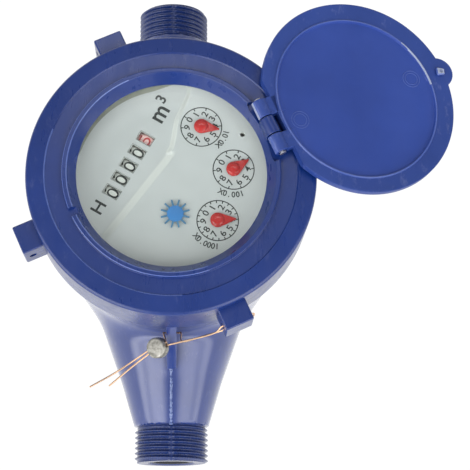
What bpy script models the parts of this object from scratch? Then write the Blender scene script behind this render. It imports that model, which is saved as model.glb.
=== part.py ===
"""Plastic multi-jet water meter, DN15, with a hinged lid and a dry register.

Frame: metres, +Z up. The origin is the middle of the flat base. The pipe runs along Y
and the inlet is at -Y. The dial faces +Z. Heights are measured from the base.
"""
import math

import bmesh
import bpy
from mathutils import Matrix, Vector

MM = 0.001
GAP = 0.3 * MM                      # between two pieces that touch
MERGE = 0.002 * MM
TURN = 2 * math.pi

# Pipe connection: G 3/4 B ends, 170 mm apart
LAY_LENGTH = 170 * MM
PIPE_HEIGHT = 31 * MM
THREAD_CREST_RADIUS = 13.2 * MM
THREAD_DEPTH = 1.15 * MM
THREAD_LENGTH = 15 * MM
BORE_RADIUS = 7.5 * MM
NECK_TAPER = 0.357                  # radius gained for each unit towards the bowl
NECK_ROOT_STEP = 0.85 * MM          # neck stands proud of the thread root

# Bowl of the body
BASE_RADIUS = 27 * MM
BOWL_RADIUS = 40.8 * MM             # at the pipe's height
BOWL_RIM_RADIUS = BOWL_RADIUS + 3.2 * MM
BOWL_WALL = 4 * MM
BOWL_FLOOR = 5 * MM
SPIGOT_RADIUS = BOWL_RIM_RADIUS - 2 * MM
SPIGOT_HEIGHT = 8 * MM              # above the body's shoulder
LEDGE_HEIGHT = 62 * MM              # carries the pressure plate
LEDGE_WIDTH = 1.7 * MM
SHELF_DROP = 1 * MM                 # top of the web between the galleries, below the pipe's axis
SHELF_THICKNESS = 4 * MM
CHANNEL_END_RADIUS = 8.5 * MM
CHANNEL_DROP = 13.5 * MM            # height between the bore and each gallery mouth
RIB_THICKNESS = 3.4 * MM
RIB_REACH = BOWL_RADIUS + 13.7 * MM
RIB_DROP = 4 * MM                   # from the body's shoulder to the rib's top
RIB_EYE_DROP = 9 * MM               # from the rib's top to its eye
RIB_EYE_REACH = 1.3 * MM            # of the eye beyond the bowl's rim
SEAL_HOLE_RADIUS = 1.2 * MM

# Head ring that clamps the register
RING_RADIUS = BOWL_RIM_RADIUS + 2 * MM
RING_HEIGHT = 20 * MM               # of the outer wall
RING_OVER_WINDOW = 2.4 * MM         # top edge above the flange's underside
RING_EDGE_ROUND = 1.0 * MM
STEP_RADIUS = RING_RADIUS - 6 * MM  # fine step line on the top face
STEP_RISE = 1.0 * MM
STEP_DROP = 0.4 * MM
LIP_OUTER_RADIUS = RING_RADIUS - 11.6 * MM
LIP_WIDTH = 1.5 * MM
LIP_HEIGHT = 1.6 * MM               # above the land
WINDOW_OPENING_RADIUS = LIP_OUTER_RADIUS - 4.2 * MM
FLANGE_THICKNESS = 0.4 * MM         # at the edge round the window
LUG_REACH = RING_RADIUS + 6.6 * MM
LUG_WIDTH = 9.4 * MM
LUG_DROP = 4 * MM                   # from the ring's edge to the lugs' top
LUG_HEIGHT = 12 * MM
LUG_HOLE_OUT = 0.6 * MM             # of the hole beyond the middle of the lug's length

# Lid and its hinge
HINGE_AZIMUTH = math.radians(24.2)
HINGE_DISTANCE = LIP_OUTER_RADIUS - 0.4 * MM
HINGE_RISE = 1.8 * MM               # axis above the ring's lip
LID_RADIUS = LIP_OUTER_RADIUS - 1 * MM
LID_THICKNESS = 2.7 * MM
LID_REST_GAP = 0.324 * MM            # from the open lid to the ring's edge
LID_CHORD = 5 * MM                   # from the hinge axis to the lid's straight edge
LID_RIDGE_RADIUS = WINDOW_OPENING_RADIUS - 0.8 * MM
LID_RIDGE_WIDTH = 0.8 * MM
LID_RIDGE_DEPTH = 0.9 * MM
EYE_RADIUS = 2.4 * MM
PIN_RADIUS = 1.1 * MM
KNUCKLE_WIDTH = 5.8 * MM
EAR_WIDTH = 6 * MM
PIN_PROUD = 0.6 * MM
TAB_RADIUS = 5.2 * MM
CATCH_WIDTH = 2.2 * MM
CATCH_LENGTH = 1.6 * MM

# Register: cup, window, dial and plates
CUP_RADIUS = BOWL_RADIUS - BOWL_WALL - 0.6 * MM
CUP_WALL = 1.8 * MM
CUP_RIM_RISE = 1.0 * MM             # above the dial's face
GASKET_THICKNESS = 0.5 * MM
BODY_GASKET_THICKNESS = 1.0 * MM
BODY_GASKET_WIDTH = 1.2 * MM
WINDOW_THICKNESS = 4 * MM
DIAL_THICKNESS = 1.8 * MM
DIAL_STANDOFF = 4.3 * MM            # above the upper plate
DIAL_RECESS = 0.9 * MM              # number field, below the dial's face
LEDGE_TO_DIAL = 1.4 * MM            # width of the cup's ledge under the dial
PLATE_RADIUS = CUP_RADIUS - CUP_WALL - 1.8 * MM
LOWER_PLATE_THICKNESS = 1.5 * MM
UPPER_PLATE_ROOM = 2.2 * MM         # above the last gear layer
UPPER_PLATE_THICKNESS = 1.2 * MM
PILLAR_RADIUS = 1.5 * MM
PILLAR_CIRCLE = PLATE_RADIUS - 2.6 * MM
PILLAR_AZIMUTHS = [math.radians(a) for a in (35, 155, 275)]

# Gear train: equal layers above the lower plate
GEAR_THICKNESS = 1.2 * MM
LAYER_COUNT = 5
LAYER_PITCH = 1.7 * MM
LAYER_CLEARANCE = 0.7 * MM          # of the first layer above the lower plate
SHAFT_RADIUS = 0.6 * MM
ADDENDUM = 0.75                     # in modules
DEDENDUM = 1.25
POINTER_CIRCLE = 20.1 * MM
POINTER_AZIMUTHS = [math.radians(a) for a in (-43.2, 9.4, 62.0)]
POINTER_HEADINGS = [math.radians(a) for a in (3.5, 33.0, -10.0)]
POINTER_NAMES = ("litre", "ten_litre", "hundred_litre")
POINTER_HUB_RADIUS = 2.5 * MM
POINTER_REACH = 5.7 * MM
POINTER_THICKNESS = 0.7 * MM
POINTER_CLEARANCE = 0.39 * MM       # above the dial
STAR_RADIUS = 4.75 * MM
STAR_DISC_RADIUS = 2.6 * MM
STAR_THICKNESS = 0.6 * MM
STAR_POINTS = 12
STAR_CIRCLE = 11.8 * MM
STAR_AZIMUTH = math.radians(-84.4)
POINTER_PINION_TEETH, IDLER_TEETH = 6, 18    # pointer arbor to idler
IDLER_PINION_TEETH, POINTER_TEETH = 6, 20    # idler to next pointer arbor
TRAIN_MODULE = 0.72 * MM
FOLLOWER_TEETH, STAR_TEETH = 14, 18
STAR_PINION_TEETH, FIRST_TEETH = 6, 16
FIRST_PINION_TEETH, FIRST_POINTER_TEETH = 6, 18
FIRST_MODULE = 0.7 * MM
DRUM_PINION_TEETH, CROWN_WHEEL_TEETH = 6, 18
CROWN_TEETH, DRUM_TEETH = 6, 20
CROWN_MODULE = 0.6 * MM

# Number drums
DRUM_COUNT = 5
DRUM_RADIUS = 6.8 * MM
DRUM_PITCH = 5.22 * MM
DRUM_RIM = 3.7 * MM
DRUM_HUB_RADIUS = 5.1 * MM
DRUM_LINE_AZIMUTH = math.radians(59.8)
DRUM_LINE_OFFSET = 13.8 * MM        # of the drum shaft from the dial's centre
DRUM_LINE_SHIFT = -2.7 * MM         # middle drum along the shaft
DRUM_SHAFT_RADIUS = 0.8 * MM
DRUM_WINDOW = (3.5 * MM, 5.6 * MM)
CARRY_RADIUS = 2.4 * MM
CARRY_OFFSET = 6.5 * MM
CARRY_DROP = 5.1 * MM
BRACKET_THICKNESS = 1.0 * MM

# Measuring chamber, impeller and magnet drive
CHAMBER_RADIUS = BOWL_RADIUS - BOWL_WALL - 8.1 * MM
SHELF_HOLE_RADIUS = CHAMBER_RADIUS + GAP
CHAMBER_WALL = 3.2 * MM
CHAMBER_LIFT = 5 * MM               # above the bowl's floor
CHAMBER_FLOOR = 3 * MM
FLANGE_RADIUS = SHELF_HOLE_RADIUS + 4 * MM
FLANGE_HEIGHT = 2 * MM
ROOF_DROP = 10 * MM                 # from the ledge to the chamber's roof
ROOF_THICKNESS = 2.5 * MM
JET_COUNT = 5
JET_WIDTH = 4.5 * MM
INLET_JET_HEIGHT = 6 * MM
OUTLET_JET_HEIGHT = 8 * MM
JET_LEAN = math.radians(35)
IMPELLER_RADIUS = CHAMBER_RADIUS - CHAMBER_WALL - 3 * MM
IMPELLER_BLADES = 6
BLADE_THICKNESS = 1.4 * MM
HUB_RADIUS = 4 * MM
IMPELLER_NECK_RADIUS = 3.4 * MM
PIVOT_RADIUS = 0.9 * MM
PIVOT_LENGTH = 6 * MM
MAGNET_RADIUS = 5.5 * MM
MAGNET_HEIGHT = 3.7 * MM
FOLLOWER_MAGNET_RADIUS = 6 * MM
MAGNET_POCKET_RADIUS = 7 * MM
PRESSURE_PLATE_THICKNESS = 6 * MM
POCKET_DEPTH = 4.2 * MM
SHIELD_INNER, SHIELD_OUTER = 9.3 * MM, 11.7 * MM
SHIELD_HEIGHT = 2.4 * MM
STRAINER_WALL = 1.0 * MM
STRAINER_LENGTH = 14 * MM

# Seal
WIRE_RADIUS = 0.35 * MM
PELLET_RADIUS = 3.2 * MM
PELLET_THICKNESS = 3.4 * MM
PELLET_OFFSET = (-4.4 * MM, -5.4 * MM, 2.0 * MM)     # from the rib's eye
WIRE_RUN = (0.82, 0.30, 0.49)       # direction of the wire through the pellet

# Facets round the larger pieces
OUTER_FACETS = 36
INNER_FACETS = 20
NECK_FACETS = 20                    # set half a facet round, clear of the bowl's widest line
PIPE_FACETS = 16
DRUM_FACETS = 10
SMALL_FACETS = 6                    # shafts and their holes

BLUE = (0.030, 0.058, 0.235)


def material(name, colour, roughness=0.4, metallic=0.0, alpha=1.0):
    mat = bpy.data.materials.new(name)
    mat.use_nodes = True
    shader = mat.node_tree.nodes["Principled BSDF"]
    shader.inputs["Base Color"].default_value = (*colour, 1.0)
    shader.inputs["Roughness"].default_value = roughness
    shader.inputs["Metallic"].default_value = metallic
    shader.inputs["Alpha"].default_value = alpha
    return mat


def clean(bm):
    """Merge what a rounding error keeps apart."""
    bmesh.ops.remove_doubles(bm, verts=bm.verts, dist=MERGE)
    bmesh.ops.dissolve_degenerate(bm, edges=bm.edges, dist=MERGE)


def finish(bm, name):
    """Close a bmesh with outward faces and put it in a new object."""
    clean(bm)
    bmesh.ops.recalc_face_normals(bm, faces=bm.faces)
    mesh = bpy.data.meshes.new(name)
    bm.to_mesh(mesh)
    bm.free()
    obj = bpy.data.objects.new(name, mesh)
    bpy.context.scene.collection.objects.link(obj)
    return obj


def turned(name, profile, segments):
    """A turned solid from (radius, height) points. A profile off the axis is closed to a ring."""
    bm = bmesh.new()
    verts = [bm.verts.new((r, 0, z)) for r, z in profile]
    edges = [bm.edges.new(pair) for pair in zip(verts, verts[1:])]
    if profile[0][0] > 0 or profile[-1][0] > 0:
        edges.append(bm.edges.new((verts[-1], verts[0])))
    bmesh.ops.spin(bm, geom=verts + edges, axis=(0, 0, 1), cent=(0, 0, 0), angle=TURN,
                   steps=segments, use_merge=True)
    return finish(bm, name)


def prism(name, outline, low, high):
    """A solid with the outline (x, y) between two heights."""
    bm = bmesh.new()
    face = bm.faces.new([bm.verts.new((x, y, low)) for x, y in outline])
    top = bmesh.ops.extrude_face_region(bm, geom=[face])["geom"]
    bmesh.ops.translate(bm, verts=[v for v in top if isinstance(v, bmesh.types.BMVert)],
                        vec=(0, 0, high - low))
    return finish(bm, name)


def disc(name, radius, low, high, segments):
    return prism(name, circle(radius, segments), low, high)


def ring(name, inner, outer, low, high, segments):
    inner = bored(inner, segments)
    return turned(name, [(inner, low), (outer, low), (outer, high), (inner, high)], segments)


def block(name, low, high):
    outline = [(low[0], low[1]), (high[0], low[1]), (high[0], high[1]), (low[0], high[1])]
    return prism(name, outline, low[2], high[2])


def bored(radius, segments):
    """Corner radius of a faceted hole whose flats lie on the given radius."""
    return radius / math.cos(math.pi / segments)


def circle(radius, segments, centre=(0, 0), start=0.0, sweep=TURN):
    """Points round a circle, or along an arc with both of its ends."""
    steps = segments if sweep == TURN else segments + 1
    return [(centre[0] + radius * math.cos(start + sweep * i / segments),
             centre[1] + radius * math.sin(start + sweep * i / segments)) for i in range(steps)]


def at(obj, place=(0, 0, 0), spin=0.0, tilt=None):
    """Move an object's mesh: tilt first, then turn about Z, then shift."""
    turn = Matrix.Rotation(spin, 4, "Z") @ (tilt or Matrix.Identity(4))
    obj.data.transform(Matrix.Translation(place) @ turn)
    return obj


def boolean(target, tool, operation):
    """Union or difference with a tool that is used up."""
    step = target.modifiers.new("step", "BOOLEAN")
    step.operation = operation
    step.solver = "EXACT"
    step.object = tool
    graph = bpy.context.evaluated_depsgraph_get()
    result = bpy.data.meshes.new_from_object(target.evaluated_get(graph))
    target.modifiers.remove(step)
    bm = bmesh.new()
    bm.from_mesh(result)
    clean(bm)
    bm.to_mesh(result)
    bm.free()
    target.data = result
    bpy.data.objects.remove(tool)
    return target


def join(target, *tools):
    for tool in tools:
        boolean(target, tool, "UNION")
    return target


def cut(target, *tools):
    for tool in tools:
        boolean(target, tool, "DIFFERENCE")
    return target


def done(obj, colour, roughness=0.4, metallic=0.0, alpha=1.0, place=(0, 0, 0), parent=None):
    """Finish a piece: its material, smooth shading and its origin."""
    obj.data.materials.clear()
    obj.data.materials.append(material(obj.name, colour, roughness, metallic, alpha))
    obj.data.shade_smooth()
    obj.data.set_sharp_from_angle(angle=math.radians(35))
    obj.location = place
    if parent:
        obj.parent = parent
    return obj


def polar(radius, azimuth):
    return Vector((radius * math.cos(azimuth), radius * math.sin(azimuth)))


# Heights that follow from the stack inside the body

def shelf_height():
    """Top of the web between the inlet and outlet galleries."""
    return PIPE_HEIGHT - SHELF_DROP


def pressure_plate_low():
    return LEDGE_HEIGHT + GAP + BODY_GASKET_THICKNESS + GAP


def cup_floor():
    """Underside of the register's cup."""
    return pressure_plate_low() + PRESSURE_PLATE_THICKNESS + GAP


def lower_plate_low():
    return cup_floor() + CUP_WALL + GAP


def layer(index):
    """Underside of a gear layer."""
    return lower_plate_low() + LOWER_PLATE_THICKNESS + LAYER_CLEARANCE + index * LAYER_PITCH


def upper_plate_low():
    return layer(LAYER_COUNT) + UPPER_PLATE_ROOM


def upper_plate_top():
    return upper_plate_low() + UPPER_PLATE_THICKNESS


def dial_low():
    return upper_plate_top() + DIAL_STANDOFF


def dial_top():
    return dial_low() + DIAL_THICKNESS


def cup_rim():
    return dial_top() + CUP_RIM_RISE


def window_low():
    return cup_rim() + GAP + GASKET_THICKNESS + GAP


def window_top():
    return window_low() + WINDOW_THICKNESS


def ring_edge():
    """Top of the head ring's outer wall."""
    return window_top() + GAP + RING_OVER_WINDOW


def ring_skirt():
    """Lower edge of the head ring."""
    return ring_edge() - RING_HEIGHT


def body_rim():
    return ring_skirt() + SPIGOT_HEIGHT


def land_height():
    """Flat top face of the ring, round the window."""
    return ring_edge() + STEP_RISE - STEP_DROP


def lip_top():
    return land_height() + LIP_HEIGHT


def lug_top():
    return ring_edge() - LUG_DROP


# Meter body

def bowl_arc(radius_at_top, base_radius, base_height, steps):
    """A quarter ellipse from the base up to the bowl's side at the pipe's height."""
    rise = PIPE_HEIGHT - base_height
    return [(base_radius + (radius_at_top - base_radius) * math.sin(TURN / 4 * i / steps),
             PIPE_HEIGHT - rise * math.cos(TURN / 4 * i / steps)) for i in range(steps + 1)]


def neck_radius(distance):
    """Outer radius of the neck at a distance from the middle of the meter."""
    root = THREAD_CREST_RADIUS - THREAD_DEPTH + NECK_ROOT_STEP
    return root + (LAY_LENGTH / 2 - THREAD_LENGTH - distance) * NECK_TAPER


def neck(side):
    """One end: a tapered neck and the thread's root cylinder, along side * Y."""
    end = LAY_LENGTH / 2
    thread_start = end - THREAD_LENGTH
    root = THREAD_CREST_RADIUS - THREAD_DEPTH
    inside = BOWL_RADIUS / 2
    profile = [(0, inside), (neck_radius(inside), inside), (neck_radius(thread_start), thread_start),
               (root, thread_start), (root, end), (0, end)]
    piece = at(turned("neck", profile, NECK_FACETS), spin=TURN / 2 / NECK_FACETS)
    return at(piece, (0, 0, PIPE_HEIGHT), tilt=Matrix.Rotation(-side * TURN / 4, 4, "X"))


def channel(side, drop):
    """The straight bore and the sloping way from it into a gallery, as one cutter."""
    end = LAY_LENGTH / 2
    sections = [(end + GAP, PIPE_HEIGHT, BORE_RADIUS), (end - THREAD_LENGTH, PIPE_HEIGHT, BORE_RADIUS),
                (BOWL_RADIUS - 2 * BOWL_WALL, PIPE_HEIGHT + drop, CHANNEL_END_RADIUS)]
    bm = bmesh.new()
    rings = []
    for distance, height, radius in sections:
        points = circle(bored(radius, PIPE_FACETS), PIPE_FACETS, (0, height))
        rings.append([bm.verts.new((x, side * distance, z)) for x, z in points])
    for first, second in zip(rings, rings[1:]):
        for i in range(PIPE_FACETS):
            j = (i + 1) % PIPE_FACETS
            bm.faces.new((first[i], first[j], second[j], second[i]))
    bm.faces.new(rings[0])
    bm.faces.new(rings[-1])
    return finish(bm, "channel")


def seal_rib():
    """The web under the ring on the inlet neck, with an eye for the seal wire."""
    neck_top = PIPE_HEIGHT + neck_radius(RIB_REACH)
    wall = BOWL_RADIUS
    outline = [(-wall, neck_top - 6 * MM), (-RIB_REACH, neck_top - 3 * MM), (-RIB_REACH, neck_top + 1 * MM),
               (-BOWL_RIM_RADIUS - 0.4 * MM, rib_top()), (-wall, rib_top())]
    web = prism("rib", outline, -RIB_THICKNESS / 2, RIB_THICKNESS / 2)
    web.data.transform(Matrix(((0, 0, 1, 0), (1, 0, 0, 0), (0, 1, 0, 0), (0, 0, 0, 1))))
    return cut(web, cross_hole(rib_eye(), SEAL_HOLE_RADIUS, 3 * RIB_THICKNESS, 0))


def rib_eye():
    """Centre of the eye in the rib."""
    return Vector((0, -BOWL_RIM_RADIUS - RIB_EYE_REACH, rib_top() - RIB_EYE_DROP))


def rib_top():
    return ring_skirt() - RIB_DROP


def cross_hole(centre, radius, length, axis_azimuth):
    """A horizontal round cutter, centred on a point."""
    hole = disc("hole", bored(radius, SMALL_FACETS), -length / 2, length / 2, SMALL_FACETS)
    tilt = Matrix.Rotation(TURN / 4, 4, "Y")
    return at(hole, centre, spin=axis_azimuth, tilt=tilt)


def make_body():
    inner_side = BOWL_RADIUS - BOWL_WALL
    shoulder = ring_skirt() - GAP
    rim = body_rim()
    outside = [(0, 0)] + bowl_arc(BOWL_RADIUS, BASE_RADIUS, 0, 4)
    outside += [(BOWL_RIM_RADIUS, shoulder), (SPIGOT_RADIUS, shoulder), (SPIGOT_RADIUS, rim), (0, rim)]
    shelf_top = shelf_height()
    shelf_low = shelf_top - SHELF_THICKNESS
    arc = bowl_arc(inner_side, BASE_RADIUS - 2 * MM, BOWL_FLOOR, 3)
    floor_arc = [point for point in arc if point[1] < shelf_low - 1e-6]
    inside = [(0, BOWL_FLOOR)] + floor_arc
    inside += [(inner_side - 0.2 * MM, shelf_low), (SHELF_HOLE_RADIUS, shelf_low),
               (SHELF_HOLE_RADIUS, shelf_top), (inner_side, shelf_top), (inner_side, LEDGE_HEIGHT),
               (inner_side + LEDGE_WIDTH, LEDGE_HEIGHT), (inner_side + LEDGE_WIDTH, rim + GAP),
               (0, rim + GAP)]
    body = turned("meter_body", outside, OUTER_FACETS)
    join(body, neck(-1), neck(1), seal_rib())
    inside = [(bored(r, INNER_FACETS), z) for r, z in inside]
    cut(body, turned("galleries", inside, INNER_FACETS))
    cut(body, channel(-1, -CHANNEL_DROP))
    cut(body, channel(1, CHANNEL_DROP))
    return done(body, BLUE, 0.35)


# Head ring, lid and hinge

def hinge_height():
    return lip_top() + HINGE_RISE


def hinge_point():
    return Vector((*polar(HINGE_DISTANCE, HINGE_AZIMUTH), hinge_height()))


def open_droop():
    """How far past flat the open lid turns before it lies against the ring's edge."""
    out = RING_RADIUS - RING_EDGE_ROUND - HINGE_DISTANCE
    down = hinge_height() - ring_edge()
    upper_face = GAP - HINGE_RISE + LID_THICKNESS
    return math.acos((upper_face + LID_REST_GAP) / math.hypot(out, down)) - math.atan2(out, down)


def hinge_frame(obj):
    """From hinge coordinates (x to the dial's centre, y along the pin) to the meter's."""
    return at(obj, hinge_point(), spin=HINGE_AZIMUTH + TURN / 2)


def eye(name, radius, near, far, segments=10):
    """A barrel along the hinge axis, between two places on it."""
    barrel = disc(name, radius, near, far, segments)
    return at(barrel, tilt=Matrix.Rotation(-TURN / 4, 4, "X"))


def lug_hole_radius():
    """Distance of the seal holes in the lugs from the dial's axis."""
    return (RING_RADIUS + LUG_REACH) / 2 + LUG_HOLE_OUT


def lug_azimuths():
    return [HINGE_AZIMUTH + TURN / 4 * i for i in (1, 2, 3)]


def lug_hole(azimuth):
    """Middle of the seal hole in the lug at an azimuth."""
    return Vector((*polar(lug_hole_radius(), azimuth), lug_top() - LUG_HEIGHT / 2))


def make_ring():
    flange_low = window_top() + GAP
    bore = bored(CUP_RADIUS + GAP, OUTER_FACETS)
    skirt, edge = ring_skirt(), ring_edge()
    lip_inner = LIP_OUTER_RADIUS - LIP_WIDTH
    profile = [(RING_RADIUS, skirt), (RING_RADIUS, edge - RING_EDGE_ROUND),
               (RING_RADIUS - RING_EDGE_ROUND, edge), (STEP_RADIUS, edge + STEP_RISE),
               (STEP_RADIUS - STEP_DROP, land_height()), (LIP_OUTER_RADIUS, land_height()),
               (LIP_OUTER_RADIUS, lip_top()), (lip_inner, lip_top()),
               (WINDOW_OPENING_RADIUS, flange_low + FLANGE_THICKNESS), (WINDOW_OPENING_RADIUS, flange_low),
               (bore, flange_low), (bore, body_rim() + GAP),
               (SPIGOT_RADIUS + GAP, body_rim() + GAP), (SPIGOT_RADIUS + GAP, skirt)]
    body = turned("head_ring", profile, OUTER_FACETS)
    half = LUG_WIDTH / 2
    for azimuth in lug_azimuths():
        lug = block("lug", (RING_RADIUS - 2 * MM, -half, lug_top() - LUG_HEIGHT),
                    (LUG_REACH, half, lug_top()))
        at(lug, spin=azimuth)
        cut(lug, cross_hole(lug_hole(azimuth), SEAL_HOLE_RADIUS, 2 * LUG_WIDTH, azimuth + TURN / 4))
        join(body, lug)
    span = KNUCKLE_WIDTH / 2 + EAR_WIDTH + 1.5 * MM
    clear_low = land_height() - hinge_height()
    relief = block("relief", (-3.2 * MM, -span, clear_low), (3.2 * MM, span, 2 * MM))
    cut(body, hinge_frame(relief))
    foot = block("foot", (-EYE_RADIUS, -KNUCKLE_WIDTH / 2, clear_low - 0.5 * MM),
                 (EYE_RADIUS, KNUCKLE_WIDTH / 2, 0))
    knuckle = join(eye("knuckle", EYE_RADIUS, -KNUCKLE_WIDTH / 2, KNUCKLE_WIDTH / 2), foot)
    cut(knuckle, eye("pin_hole", bored(PIN_RADIUS + GAP, 8), -span, span, 8))
    join(body, hinge_frame(knuckle))
    notch_width = CATCH_WIDTH / 2 + GAP
    notch = block("notch", (LIP_OUTER_RADIUS - 4.5 * MM, -notch_width, land_height()),
                  (LIP_OUTER_RADIUS + 0.2 * MM, notch_width, lip_top() + 1 * MM))
    cut(body, at(notch, spin=HINGE_AZIMUTH + TURN / 2))
    return done(body, BLUE, 0.3)


def make_lid(hinge):
    """Modelled shut in the hinge's frame. The parent empty holds it open."""
    low = GAP - HINGE_RISE
    high = low + LID_THICKNESS
    edge = 0.6 * MM
    ridge_in = LID_RIDGE_RADIUS - LID_RIDGE_WIDTH
    profile = [(0, low + 0.3 * MM), (ridge_in, low + 0.3 * MM), (ridge_in, low - LID_RIDGE_DEPTH),
               (LID_RIDGE_RADIUS, low - LID_RIDGE_DEPTH), (LID_RIDGE_RADIUS, low), (LID_RADIUS, low),
               (LID_RADIUS - edge, high), (0, high)]
    lid = at(turned("lid", profile, OUTER_FACETS), (HINGE_DISTANCE, 0, 0))
    beyond = block("chord", (-LID_RADIUS, -LID_RADIUS, -LID_RADIUS), (LID_CHORD, LID_RADIUS, LID_RADIUS))
    cut(lid, beyond)
    ear_low = KNUCKLE_WIDTH / 2 + GAP
    ear_high = ear_low + EAR_WIDTH
    for near, far in ((ear_low, ear_high), (-ear_high, -ear_low)):
        arm = block("arm", (0, near, low), (LID_CHORD + 2 * MM, far, high))
        ear = join(eye("ear", EYE_RADIUS, near, far), arm)
        cut(ear, eye("pin_hole", bored(PIN_RADIUS + GAP, 8), -2 * ear_high, 2 * ear_high, 8))
        join(lid, ear)
    tip = HINGE_DISTANCE + LID_RADIUS
    tab = turned("tab", [(0, low), (TAB_RADIUS, low), (TAB_RADIUS, high - edge),
                         (TAB_RADIUS - edge, high - 0.1 * MM), (0, high - 0.1 * MM)], 14)
    join(lid, at(tab, (tip - 0.4 * MM, 0, 0)))
    catch_in = HINGE_DISTANCE + LIP_OUTER_RADIUS - LIP_WIDTH + 0.2 * MM
    catch = block("catch", (catch_in, -CATCH_WIDTH / 2, low - LIP_HEIGHT + GAP),
                  (catch_in + CATCH_LENGTH, CATCH_WIDTH / 2, low + 1 * MM))
    join(lid, catch)
    return done(lid, BLUE, 0.35, parent=hinge)


def make_hinge():
    hinge = bpy.data.objects.new("lid_axis", None)
    bpy.context.scene.collection.objects.link(hinge)
    hinge.location = hinge_point()
    hinge.rotation_euler = (0, -(TURN / 2 + open_droop()), HINGE_AZIMUTH + TURN / 2)
    make_lid(hinge)
    reach = KNUCKLE_WIDTH / 2 + GAP + EAR_WIDTH + PIN_PROUD
    done(hinge_frame(eye("hinge_pin", PIN_RADIUS, -reach, reach, 8)), (0.6, 0.62, 0.66), 0.3, 1.0)


# Register housing

def make_housing():
    floor = cup_floor()
    inner = CUP_RADIUS - CUP_WALL
    seat = dial_low() - GAP
    cup_profile = [(MAGNET_POCKET_RADIUS, floor), (CUP_RADIUS, floor), (CUP_RADIUS, cup_rim()),
                   (inner, cup_rim()), (inner, seat), (inner - LEDGE_TO_DIAL, seat),
                   (inner - LEDGE_TO_DIAL, floor + CUP_WALL), (MAGNET_POCKET_RADIUS, floor + CUP_WALL)]
    done(turned("register_cup", cup_profile, INNER_FACETS), (0.72, 0.73, 0.72), 0.5)
    gasket_low = cup_rim() + GAP
    done(ring("window_gasket", inner, CUP_RADIUS, gasket_low, gasket_low + GASKET_THICKNESS, INNER_FACETS),
         (0.02, 0.02, 0.02), 0.7)
    window = disc("window", CUP_RADIUS, window_low(), window_top(), INNER_FACETS)
    done(window, (0.9, 0.95, 0.95), 0.03, alpha=0.2)
    plate_low = pressure_plate_low()
    plate_top = plate_low + PRESSURE_PLATE_THICKNESS
    plate_radius = BOWL_RADIUS - BOWL_WALL + LEDGE_WIDTH - GAP
    groove_low = plate_top - SHIELD_HEIGHT - 2 * GAP
    plate = [(0, plate_low + POCKET_DEPTH), (MAGNET_POCKET_RADIUS, plate_low + POCKET_DEPTH),
             (MAGNET_POCKET_RADIUS, plate_low), (plate_radius, plate_low), (plate_radius, plate_top),
             (bored(SHIELD_OUTER + GAP, INNER_FACETS), plate_top),
             (bored(SHIELD_OUTER + GAP, INNER_FACETS), groove_low),
             (SHIELD_INNER - GAP, groove_low), (SHIELD_INNER - GAP, plate_top), (0, plate_top)]
    done(turned("pressure_plate", plate, INNER_FACETS), (0.05, 0.05, 0.055), 0.5)
    gasket = ring("body_gasket", plate_radius - BODY_GASKET_WIDTH, plate_radius, LEDGE_HEIGHT + GAP,
                  LEDGE_HEIGHT + GAP + BODY_GASKET_THICKNESS, INNER_FACETS)
    done(gasket, (0.02, 0.02, 0.02), 0.8)
    shield_low = groove_low + GAP
    shield = ring("shield_ring", SHIELD_INNER, SHIELD_OUTER, shield_low, shield_low + SHIELD_HEIGHT, 12)
    done(shield, (0.45, 0.45, 0.46), 0.4, 1.0)


# Gears and the register's train

def gear_outline(teeth, module, phase):
    """Vee teeth with straight flanks. One tooth points along phase."""
    pitch_radius = teeth * module / 2
    tip = pitch_radius + ADDENDUM * module
    root = pitch_radius - DEDENDUM * module
    points = []
    for i in range(2 * teeth):
        radius = root if i % 2 else tip
        angle = phase + TURN / 2 / teeth * i
        points.append((radius * math.cos(angle), radius * math.sin(angle)))
    return points


def gear(name, teeth, module, phase, index):
    low = layer(index)
    return prism(name, gear_outline(teeth, module, phase), low, low + GEAR_THICKNESS)


def arbor(name, place, low, high, gears):
    """A shaft with its gears, as (teeth, module, phase, layer)."""
    shaft = disc(name, SHAFT_RADIUS, low, high, SMALL_FACETS)
    for teeth, module, phase, index in gears:
        join(shaft, gear("gear", teeth, module, phase, index))
    return done(shaft, (0.75, 0.74, 0.7), 0.5, place=(*place, 0))


def meet(first, second):
    """Azimuths from the first gear to the second, and back to a gap in it."""
    way = second - first
    return math.atan2(way.y, way.x)


def gap_towards(azimuth, teeth):
    """Phase that puts a gap on the azimuth."""
    return azimuth + TURN / 2 / teeth


def apex(first, second, to_first, to_second, side):
    """The point at two distances from two others, on one side of their line."""
    way = second - first
    span = way.length
    along = (to_first ** 2 - to_second ** 2 + span ** 2) / (2 * span)
    height = math.sqrt(to_first ** 2 - along ** 2)
    unit = way / span
    return first + unit * along + Vector((-unit.y, unit.x)) * height * side


def drum_point(along, across=0.0):
    """Plan position at a distance along the drum shaft from the foot of its offset."""
    t = polar(1, DRUM_LINE_AZIMUTH)
    n = Vector((-t.y, t.x))
    return t * along + n * (DRUM_LINE_OFFSET + across)


def drum_axis_height():
    return dial_low() - GAP - DRUM_RADIUS


def crown_along():
    """Place of the crown arbor along the drum shaft."""
    last_rim = DRUM_LINE_SHIFT + 2.5 * DRUM_PITCH
    return last_rim + 0.9 * MM + CROWN_TEETH * CROWN_MODULE / 2


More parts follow.
